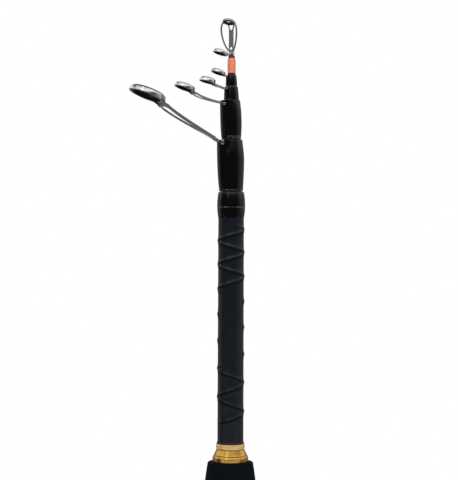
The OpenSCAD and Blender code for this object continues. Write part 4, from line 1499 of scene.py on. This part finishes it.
@dataclass
class Guide:
    """One line guide of a section: tube, clasps, slotted leg, hoop and black ring."""

    k: int
    d: float
    reach: float
    rise: float
    tilt: float
    hoop_wall: float
    hoop_depth: float
    ring_wall: float
    leg_top_w: float
    leg_foot_w: float
    leg_t: float
    leg_drop: float
    foot_rise: float
    head_rise: float
    tube_len: float
    crown: float = 0.3
    slot: Slot | None = None
    clasp: Clasp | None = None
    hoop_sag: float = 0.3
    bar_roll: float = 0.25
    bar_flare: float = 0.15
    proud: float = 0.25
    foot_pull: float = 0.45
    head_pull: float = 0.2
    head_sink: float = 0.4
    hoop_lean: Point = (3.0, 16.0)
    hoop_steps: int = 144
    lean_steps: int = 10
    lip_share: float = 0.33
    leg_steps: int = 60
    least_bar: float = 0.02
    full_roll: float = 0.5
    edge_share: float = 0.4
    tube_round: float = 0.4
    halvings: int = 40

    def place(self, sections: Sections) -> Matrix:
        """Where the hoop stands, from its own frame to the rod's."""
        middle = Vector((-self.reach, 0.0, sections.rim(self.k) + self.rise))
        return Matrix.Translation(middle) @ Matrix.Rotation(math.radians(self.tilt), 4, "Y")

    def build(self, sections: Sections) -> None:
        """Makes the guide.

        Args:
            sections: Sizes of the rod's sections.
        """
        body = f"section_{self.k}"
        place = self.place(sections)
        frame, ring = Shell(), Shell()
        self.add_hoop(frame, place)
        self.add_leg(frame, sections)
        self.add_tube(frame, sections)
        self.add_clasps(frame, sections)
        seat = self.d / 2 - self.hoop_wall - sections.fit
        depth = self.hoop_depth + self.proud + self.crown
        section = round_box(self.ring_wall, depth, self.ring_wall * RING_ROUND, steps=8)
        middle = (seat - self.ring_wall / 2, (self.crown - self.proud) / 2)
        ring.turn(shifted(section, *middle), place=place, closed=True)
        made = frame.piece(f"{body}_guide_frame", Look.STEEL, body, [f"{body}_guide"], smooth=40.0)
        soften(made, self.leg_t * self.edge_share, segments=4, limit=50.0)
        ring.piece(f"{body}_guide_eye", Look.RING, body, [f"{body}_ring"])

    def add_hoop(self, shell: Shell, place: Matrix) -> None:
        """Adds the hoop, which narrows a little upwards and has a rolled lip on both faces.

        Args:
            shell: Shell of the frame.
            place: Where the hoop stands.
        """
        half, wall = self.hoop_depth / 2, self.hoop_wall
        lip = wall * self.lip_share
        first, last = (math.radians(angle) for angle in self.hoop_lean)
        low = lip - half + lip * math.sin(first)
        high = half - lip + lip * math.sin(last)
        lean = (high - low) * (math.tan(first) + math.tan(last)) / 2
        profile = [
            *arc(lip, self.hoop_lean[1], 90, (-lean - lip * math.cos(last), half - lip)),
            *arc(lip, 90, 180, (lip - wall, half - lip)),
            *arc(lip, 180, 270, (lip - wall, lip - half)),
            *arc(lip, 270, 360 + self.hoop_lean[0], (-lip * math.cos(first), lip - half)),
        ]
        for i in range(1, self.lean_steps):
            u = i / self.lean_steps
            slope = math.tan(first) * u + (math.tan(last) - math.tan(first)) * u * u / 2
            profile.append((-(high - low) * slope, low + (high - low) * u))
        rows = []
        for out, height in [*profile, profile[0]]:
            row = []
            for j in range(self.hoop_steps):
                angle = TURN * j / self.hoop_steps
                sag = 1.0 + self.hoop_sag * (1.0 + math.cos(angle)) / 2 if height < 0 else 1.0
                r = self.d / 2 + out
                row.append(place @ Vector((r * math.cos(angle), r * math.sin(angle), height * sag)))
            rows.append(row)
        shell.grid(rows, wrap=True)

    def route(self, sections: Sections) -> tuple[Vector, Vector, Vector, Vector]:
        """Control points of the middle line of the leg.

        Args:
            sections: Sizes of the rod's sections.

        Returns:
            Four points of a cubic curve in the XZ plane.
        """
        tilt = math.radians(self.tilt)
        rim, wall = sections.rim(self.k), sections.tube_wall[self.k - 2]
        foot = Vector((-sections.bore(self.k) - wall / 2, 0.0, rim - self.leg_drop))
        head = Vector((-self.reach, 0.0, rim + self.rise))
        out = math.sqrt((self.d - self.hoop_wall) ** 2 - self.leg_top_w**2) / 2
        head += out * Vector((math.cos(tilt), 0.0, -math.sin(tilt)))
        head -= self.hoop_depth * self.head_sink * Vector((math.sin(tilt), 0.0, math.cos(tilt)))
        length = (head - foot).length
        first, last = math.radians(self.foot_rise), math.radians(self.head_rise)
        ahead = Vector((-math.cos(first), 0.0, math.sin(first))) * length * self.foot_pull
        back = Vector((-math.cos(last), 0.0, math.sin(last))) * length * self.head_pull
        return foot, foot + ahead, head - back, head

    def add_leg(self, shell: Shell, sections: Sections) -> None:
        """Adds the bent flat leg with its slot, up to both sides of the hoop.

        Args:
            shell: Shell of the frame.
            sections: Sizes of the rod's sections.
        """
        route = self.route(sections)
        run = route[0].x - route[3].x
        seat_r = self.d / 2 - self.hoop_wall
        home = self.place(sections).inverted()
        stations = {run * i / self.leg_steps for i in range(self.leg_steps + 1)}
        if self.slot:
            stations |= self.slot.stations(run)
        upper, lower = ([], []), ([], [])
        for across in sorted(stations):
            p, along = self.crossing(route, across)
            inner = self.slot.half(across, run) if self.slot else 0.0
            inner = max(inner, math.sqrt(max(seat_r**2 - (home @ p).x ** 2, 0.0)))
            normal = Vector((along.z, 0.0, -along.x))
            normal *= self.leg_t / 2 * (1 if normal.z > 0 else -1)
            outer = (self.leg_foot_w + (self.leg_top_w - self.leg_foot_w) * across / run) / 2
            inner = min(inner, outer - self.least_bar)
            roll = normal.normalized() * self.bar_roll * (outer - inner) / 2
            roll *= smoothstep(0.0, self.full_roll, inner)
            for side, sign in enumerate((-1.0, 1.0)):
                edge = Vector((0.0, sign * outer, 0.0)) + roll
                slot = Vector((0.0, sign * inner, 0.0)) - roll
                flare = Vector((0.0, sign * self.bar_flare * self.leg_t, 0.0))
                upper[side].append((p + normal + edge, p + normal + slot))
                lower[side].append((p - normal + edge + flare, p - normal + slot))
        for side in (0, 1):
            pairs = zip(upper[side], lower[side])
            shell.bar([[top[0], top[1], bottom[1], bottom[0]] for top, bottom in pairs])

    def crossing(self, route: Sequence[Vector], across: float) -> tuple[Vector, Vector]:
        """Point and direction of the leg at a distance from its foot, measured across the rod.

        Args:
            route: Four control points.
            across: Distance from the foot.

        Returns:
            The point and the unit direction there.
        """
        low, high = 0.0, 1.0
        for _ in range(self.halvings):
            middle = (low + high) / 2
            if route[0].x - self.cubic(route, middle)[0].x < across:
                low = middle
            else:
                high = middle
        return self.cubic(route, high)

    @staticmethod
    def cubic(route: Sequence[Vector], t: float) -> tuple[Vector, Vector]:
        """Point and direction on a cubic curve.

        Args:
            route: Four control points.
            t: Share of the way.

        Returns:
            The point and the unit direction there.
        """
        s = 1 - t
        a, b, c, d = route
        point = a * s**3 + b * (3 * t * s * s) + c * (3 * t * t * s) + d * t**3
        along = (b - a) * (s * s) + (c - b) * (2 * s * t) + (d - c) * (t * t)
        return point, along.normalized()

    def add_tube(self, shell: Shell, sections: Sections) -> None:
        """Adds the tube under the winding.

        Args:
            shell: Shell of the frame.
            sections: Sizes of the rod's sections.
        """
        wall = sections.tube_wall[self.k - 2]
        tube = round_box(wall, self.tube_len, wall * self.tube_round, steps=3)
        place = (sections.bore(self.k) + wall / 2, sections.rim(self.k) - self.tube_len / 2)
        shell.turn(shifted(tube, *place), closed=True)

    def add_clasps(self, shell: Shell, sections: Sections) -> None:
        """Adds the wire loops beside the foot of a long guide.

        Args:
            shell: Shell of the frame.
            sections: Sizes of the rod's sections.
        """
        clasp = self.clasp
        if not clasp:
            return
        wire = clasp.breadth * clasp.wire_share
        mound = Windings.MOUNDS[self.k]
        head = sections.head(self.k)
        head_r, length = sections.winding_r(self.k, head), head - sections.foot(self.k)
        middle = head - clasp.height / 2 - clasp.sink
        width, height = clasp.breadth - 2 * wire, clasp.height - 2 * wire
        loop = round_box(width, height, width / 2 - clasp.ease)
        for side in (-1.0, 1.0):
            path = []
            for across, up in loop:
                plain = sections.winding_r(self.k, middle + up)
                turn = GUIDE_SIDE + side * clasp.angle + math.degrees(across / plain)
                down = (clasp.height / 2 - up + clasp.sink) / length
                r = mound.radius(turn, plain, head_r, down) + wire * clasp.proud
                angle = math.radians(turn)
                path.append(Vector((r * math.cos(angle), r * math.sin(angle), middle + up)))
            shell.sweep(path, wire, closed=True)


@dataclass
class TipTop:
    """Tip guide: hoop with its ring, two bowed side wires and a forked bar on a boss."""

    sections: Sections
    d: float = 8.1
    reach: float = 4.1
    rise: float = 18.8
    tilt: float = 18.0
    heading: float = 44.0
    hoop_wall: float = 0.8
    hoop_depth: float = 1.5
    ring_wall: float = 0.9
    wire_r: float = 0.575
    bow: float = 3.9
    lead: float = 0.7
    bar_w: float = 3.3
    bar_t: float = 0.8
    prong_w: float = 0.8
    prong_len: float = 3.4
    boss_r: float = 1.8
    boss_h: float = 1.2
    tube_len: float = 10.0
    tube_r: float = 0.981
    proud: float = 0.25
    hoop_round: float = 0.45
    boss_edges: Point = (0.25, 0.45)
    edge: float = 0.14
    wire_steps: int = 32
    prong_steps: int = 5

    def build(self) -> None:
        """Makes the frame and its ring."""
        base = self.sections.rim(6) + self.sections.gap
        heading = Matrix.Rotation(math.radians(self.heading), 4, "Z")
        middle = Vector((-self.reach, 0.0, base + self.rise))
        hoop = heading @ Matrix.Translation(middle) @ Matrix.Rotation(math.radians(self.tilt), 4, "Y")
        frame, ring = Shell(), Shell()
        section = round_box(self.hoop_wall, self.hoop_depth, self.hoop_wall * self.hoop_round)
        frame.turn(shifted(section, (self.d - self.hoop_wall) / 2, 0.0), place=hoop, closed=True)
        seat = self.d / 2 - self.hoop_wall - self.sections.fit
        depth = self.hoop_depth + 2 * self.proud
        section = round_box(self.ring_wall, depth, self.ring_wall * RING_ROUND, steps=8)
        ring.turn(shifted(section, seat - self.ring_wall / 2, 0.0), place=hoop, closed=True)
        foot, head = self.boss_edges
        boss = [
            (0.0, base - self.tube_len),
            (self.tube_r, base - self.tube_len),
            (self.tube_r, base),
            *arc(foot, -90, 0, (self.boss_r - foot, base + foot)),
            *arc(head, 0, 90, (self.boss_r - head, base + self.boss_h - head)),
            (0.0, base + self.boss_h),
        ]
        frame.turn(boss, steps=48)
        for side in (-1.0, 1.0):
            self.add_wire(frame, heading, base, side)
        self.add_bar(frame, heading, base)
        made = frame.piece("tip_guide_frame", Look.SATIN, "tip", ["tip_top_frame"], smooth=40.0)
        soften(made, self.edge, segments=2, limit=55.0)
        ring.piece("tip_guide_eye", Look.RING, "tip", ["tip_top_ring"])

    def add_wire(self, shell: Shell, heading: Matrix, base: float, side: float) -> None:
        """Adds a bowed side wire.

        Args:
            shell: Shell of the frame.
            heading: Turn of the tip guide about the rod.
            base: Height of the foot of the boss.
            side: -1 or 1.
        """
        middle_r = (self.d - self.hoop_wall) / 2
        start = base + self.boss_h - self.wire_r
        route = (
            Vector((-self.wire_r, side * (self.boss_r - self.wire_r), start - self.boss_h / 2)),
            Vector((-(self.reach + self.lead) / 2, side * (middle_r + self.bow / 3), start + self.rise / 6)),
            Vector((-self.reach - self.lead, side * (middle_r + self.bow), start + self.rise * 5 / 6)),
            Vector((-self.reach, side * middle_r, base + self.rise)),
        )
        shares = [i / self.wire_steps for i in range(self.wire_steps + 1)]
        path = [heading @ Guide.cubic(route, share)[0] for share in shares]
        shell.sweep(path, self.wire_r, sides=14)

    def add_bar(self, shell: Shell, heading: Matrix, base: float) -> None:
        """Adds the middle bar, forked at both ends.

        Args:
            shell: Shell of the frame.
            heading: Turn of the tip guide about the rod.
            base: Height of the foot of the boss.
        """
        middle_r = (self.d - self.hoop_wall) / 2
        half, slot = self.bar_w / 2, self.bar_w / 2 - self.prong_w
        foot = base + self.boss_h
        head = base + self.rise - middle_r * math.sin(math.radians(self.tilt))
        fork = head - self.prong_len
        x = middle_r * math.cos(math.radians(self.tilt)) - self.reach
        outline: list[tuple[float, float, float]] = [(foot - self.boss_h / 2, half, slot)]
        outline += [(foot + slot + slot * math.sin(a), half, slot * math.cos(a)) for a in quarter(8)]
        outline += [(fork + slot / 2 - slot * math.cos(a), half, slot * math.sin(a)) for a in quarter(8)]
        for i in range(2, self.prong_steps + 1):
            share = i / self.prong_steps
            outer, inner = half + self.prong_w * share, slot + (half - slot) * share
            outline.append((fork + self.prong_len * share, outer, inner))
        for side in (-1.0, 1.0):
            rows = []
            for z, outer, inner in outline:
                rows.append([
                    heading @ Vector((x + sign * self.bar_t / 2, side * y, z))
                    for sign, y in ((1, outer), (1, inner), (-1, inner), (-1, outer))
                ])
            shell.bar(rows)


@dataclass
class Guides:
    """The five guides on sections 2 to 6."""

    sections: Sections

    GUIDES = (
        Guide(
            k=2, d=24.4, reach=56.1, rise=28.2, tilt=20.5,
            hoop_wall=1.4, hoop_depth=3.3, ring_wall=1.8, crown=0.8,
            leg_top_w=17.8, leg_foot_w=4.4, leg_t=1.35, leg_drop=2.3,
            foot_rise=29, head_rise=47, tube_len=9.0,
            slot=Slot(start=5.0, neck=4.1, foot_w=1.6, top_w=13.0),
            clasp=Clasp(height=3.4, breadth=2.1, angle=33),
        ),
        Guide(
            k=3, d=13.7, reach=31.4, rise=7.6, tilt=18,
            hoop_wall=1.0, hoop_depth=2.5, ring_wall=1.2, crown=0.4,
            leg_top_w=10.4, leg_foot_w=3.4, leg_t=0.85, leg_drop=2.3,
            foot_rise=8, head_rise=44, tube_len=7.0,
            slot=Slot(start=3.0, neck=3.0, foot_w=1.0, top_w=7.2),
            clasp=Clasp(height=2.0, breadth=1.7, angle=33, sink=1.3),
        ),
        Guide(
            k=4, d=10.7, reach=16.2, rise=3.5, tilt=13,
            hoop_wall=0.9, hoop_depth=2.4, ring_wall=1.0, crown=0.45,
            leg_top_w=7.8, leg_foot_w=2.9, leg_t=0.75, leg_drop=1.7,
            foot_rise=14, head_rise=40, tube_len=5.0,
            slot=Slot(start=1.8, neck=2.3, foot_w=0.9, top_w=4.8),
            clasp=Clasp(height=1.6, breadth=1.1, angle=33),
        ),
        Guide(
            k=5, d=9.6, reach=9.0, rise=1.4, tilt=18,
            hoop_wall=0.85, hoop_depth=2.0, ring_wall=0.9,
            leg_top_w=4.2, leg_foot_w=2.8, leg_t=1.0, leg_drop=1.4,
            foot_rise=20, head_rise=20, tube_len=4.5,
        ),
        Guide(
            k=6, d=9.8, reach=7.5, rise=-0.4, tilt=16,
            hoop_wall=0.85, hoop_depth=2.0, ring_wall=0.9,
            leg_top_w=3.6, leg_foot_w=2.6, leg_t=1.3, leg_drop=1.6,
            foot_rise=-12, head_rise=-12, tube_len=6.5, bar_flare=0.0,
        ),
    )

    def build(self) -> None:
        """Makes the guides."""
        for guide in self.GUIDES:
            guide.build(self.sections)


class PlainNodes:
    """CAD nodes whose own mesh is right and only needs its finish."""

    SMOOTH = 32.0
    LOOKS = {
        "butt_pad": Look.PAD,
        "cap_bumper": Look.PAD,
        "cap_washer": Look.SEAL,
        "butt_ferrule": Look.FERRULE,
        "rear_trim_ring": Look.GOLD,
        "seat_arbor": Look.ARBOR,
        "fixed_hood": Look.HOOD,
        "sliding_hood": Look.HOOD,
        "butt_trim": Look.TRIM,
        "section_2_trim": Look.TRIM,
        "section_3_trim": Look.TRIM,
        "butt_blank": Look.CARBON,
        "tip_blank": Look.TIP,
    }

    def dress(self, nodes: dict[str, bpy.types.Object]) -> None:
        """Gives each kept node its finish and smooth shading.

        Args:
            nodes: CAD nodes by name.
        """
        looks = self.LOOKS | {f"section_{k}_blank": Look.CARBON for k in range(2, 7)}
        for name, look in looks.items():
            mesh = nodes[name].data
            mesh.materials.clear()
            mesh.materials.append(look.material())
            mesh.shade_smooth()
            mesh.set_sharp_from_angle(angle=math.radians(self.SMOOTH))


@dataclass(frozen=True)
class Step:
    """Change of the room's light that sets in between two values."""

    low: float
    high: float
    amount: float = 1.0

    def of(self, value: Sock) -> Sock:
        """Amount of the change at a value."""
        return value.rise(self.low, self.high) * self.amount


@dataclass
class Studio:
    """White room, lights, floor and the camera of the main view."""

    azimuth: float = -17.0
    eye: float = 428.2
    away: float = 1000.0
    across: float = -1.33
    lens: float = 115.38
    roll: float = 0.19
    sensor: float = 36.0
    clip: Point = (0.05, 20.0)
    floor_r: float = 1000.0
    floor_drop: float = 0.5
    floor_steps: int = 96
    front_level: float = 0.04
    front_top: Step = Step(0.33, 0.43, 1.1)
    front_over: Step = Step(0.50, 0.62, 0.35)
    front_roof: Step = Step(0.74, 0.86, 0.65)
    streak_left: Step = Step(-0.66, -0.58)
    streak_right: Step = Step(-0.48, -0.40)
    streak_foot: Step = Step(0.24, 0.30)
    side_level: float = 0.38
    back_dim: Step = Step(0.5, 0.95, 0.15)
    back_top: Step = Step(0.14, 0.3, 0.6)
    back_low: Step = Step(0.08, 0.25, 0.55)
    back_roof: Step = Step(0.45, 0.6, 0.85)
    left_edge: Step = Step(-0.17, 0.14)
    right_edge: Step = Step(0.05, 0.64)
    lamp_away: float = 1200.0

    def build(self) -> None:
        """Makes the room, the lights and the camera."""
        self.world()
        self.floor()
        self.lights()
        self.camera()

    def towards(self, azimuth: float, elevation: float) -> Vector:
        """Direction from the rod to a place round it."""
        a, e = math.radians(azimuth), math.radians(elevation)
        return Vector((math.sin(a) * math.cos(e), -math.cos(a) * math.cos(e), math.sin(e)))

    def world(self) -> None:
        """White for the camera; for the rest a pale back, grey sides and a dark front."""
        world = bpy.data.worlds.new("room")
        bpy.context.scene.world = world
        world.use_nodes = True
        shader = Shader(world.node_tree)
        place = shader.point("Generated")
        facing = shader.dot(place, self.towards(self.azimuth, 0.0))
        beside = shader.dot(place, self.towards(self.azimuth + 90.0, 0.0))
        _, _, up = shader.axes(place)
        aside = beside / facing
        streak = (self.streak_left.of(aside) - self.streak_right.of(aside)) * self.streak_foot.of(up)
        front = self.front_level + self.front_top.of(up) - self.front_over.of(up) - self.front_roof.of(up)
        front = front + streak * facing.above(0.0)
        back = self.side_level - self.back_dim.of(-facing)
        back = back * (1.0 - self.back_low.of(-up)) + self.back_top.of(up)
        back = back * (1.0 - self.back_roof.of(up))
        left = self.left_edge.of(facing)
        ahead = left + beside.above(0.0) * (self.right_edge.of(facing) - left)
        level = ahead * front + (1.0 - ahead) * back
        path = shader.node("ShaderNodeLightPath")
        rays = shader.out(path, "Is Camera Ray"), shader.out(path, "Is Transmission Ray")
        seen = shader.math("MAXIMUM", *rays)
        grey = shader.out(shader.node("ShaderNodeCombineXYZ", None, {0: level, 1: level, 2: level}))
        colour = shader.blend(seen, grey, rgb(1.0, 1.0, 1.0))
        background = shader.node("ShaderNodeBackground", None, {"Color": colour, "Strength": 1.0})
        shader.node("ShaderNodeOutputWorld", None, {"Surface": shader.out(background)})

    def floor(self) -> None:
        """Pale round floor."""
        radius = self.floor_r * MM
        angles = [TURN * i / self.floor_steps for i in range(self.floor_steps)]
        ring = [(radius * math.cos(a), radius * math.sin(a), -self.floor_drop * MM) for a in angles]
        mesh = bpy.data.meshes.new("floor")
        mesh.from_pydata(ring, [], [tuple(range(self.floor_steps))])
        paint = MouldedPlastic(
            "floor_paint", rgb(0.86, 0.86, 0.86), rgb(0.80, 0.80, 0.80),
            roughness=0.6, grain=300.0, depth=0.01,
        )
        mesh.materials.append(paint.build())
        obj = put("floor", mesh)
        obj.visible_glossy = False

    def lamp(
        self,
        name: str,
        azimuth: float,
        elevation: float,
        size: Point,
        power: float,
        aim: Point | None = None,
    ) -> None:
        """Adds a softbox, or a small card that shows in reflections.

        Args:
            name: Name of the light.
            azimuth: Its direction round the rod, from the camera's own.
            elevation: Its height over the horizon.
            size: Width and height in millimetres.
            power: Power in watts.
            aim: For a card, the height that it looks at and its distance.
        """
        lamp = bpy.data.lights.new(name, "AREA")
        lamp.shape = "RECTANGLE"
        lamp.size, lamp.size_y = size[0] * MM, size[1] * MM
        lamp.energy = power
        obj = put(name, lamp)
        back = self.towards(self.azimuth + azimuth, elevation)
        height, away = aim or (self.eye, self.lamp_away)
        obj.location = (Vector((0.0, 0.0, height)) + back * away) * MM
        obj.visible_glossy = aim is not None
        obj.visible_camera = False
        obj.rotation_mode = "QUATERNION"
        obj.rotation_quaternion = (-back).to_track_quat("-Z", "Y")

    def lights(self) -> None:
        """Softboxes above the camera and at one side, and a card that the collar mirrors."""
        self.lamp("key", azimuth=-12.0, elevation=32.0, size=(900.0, 700.0), power=13.0)
        self.lamp("fill", azimuth=60.0, elevation=10.0, size=(600.0, 900.0), power=4.0)
        self.lamp("card", azimuth=0.0, elevation=-14.5, size=(1600.0, 76.0), power=0.27, aim=(286.0, 300.0))

    def camera(self) -> None:
        """Camera of the main view."""
        data = bpy.data.cameras.new("main")
        data.sensor_fit = "AUTO"
        data.lens, data.sensor_width = self.lens, self.sensor
        data.clip_start, data.clip_end = self.clip
        obj = put("main", data)
        back = self.towards(self.azimuth, 0.0)
        right = self.towards(self.azimuth + 90.0, 0.0)
        obj.location = (Vector((0.0, 0.0, self.eye)) + right * self.across + back * self.away) * MM
        obj.rotation_mode = "QUATERNION"
        roll = Matrix.Rotation(math.radians(self.roll), 4, back).to_quaternion()
        obj.rotation_quaternion = roll @ (-back).to_track_quat("-Z", "Y")
        bpy.context.scene.camera = obj


def clear_scene() -> None:
    """Removes what a new file starts with."""
    for obj in list(bpy.data.objects):
        bpy.data.objects.remove(obj)


def main() -> None:
    """Builds the scene piece by piece."""
    logging.basicConfig(level=logging.INFO, format="%(name)s: %(message)s")
    clear_scene()
    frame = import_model()
    bpy.context.scene.view_settings.view_transform = "Standard"
    sections = Sections()
    PlainNodes().dress(frame["nodes"])
    LOG.info("plain nodes dressed")
    for kind in (Windings, RibbedSleeve, Handle, Guides, TipTop):
        kind(sections).build()
        LOG.info("%s built", kind.__name__)
    Studio().build()
    LOG.info("studio built")
    bpy.context.view_layer.update()


if __name__ == "__main__":
    main()
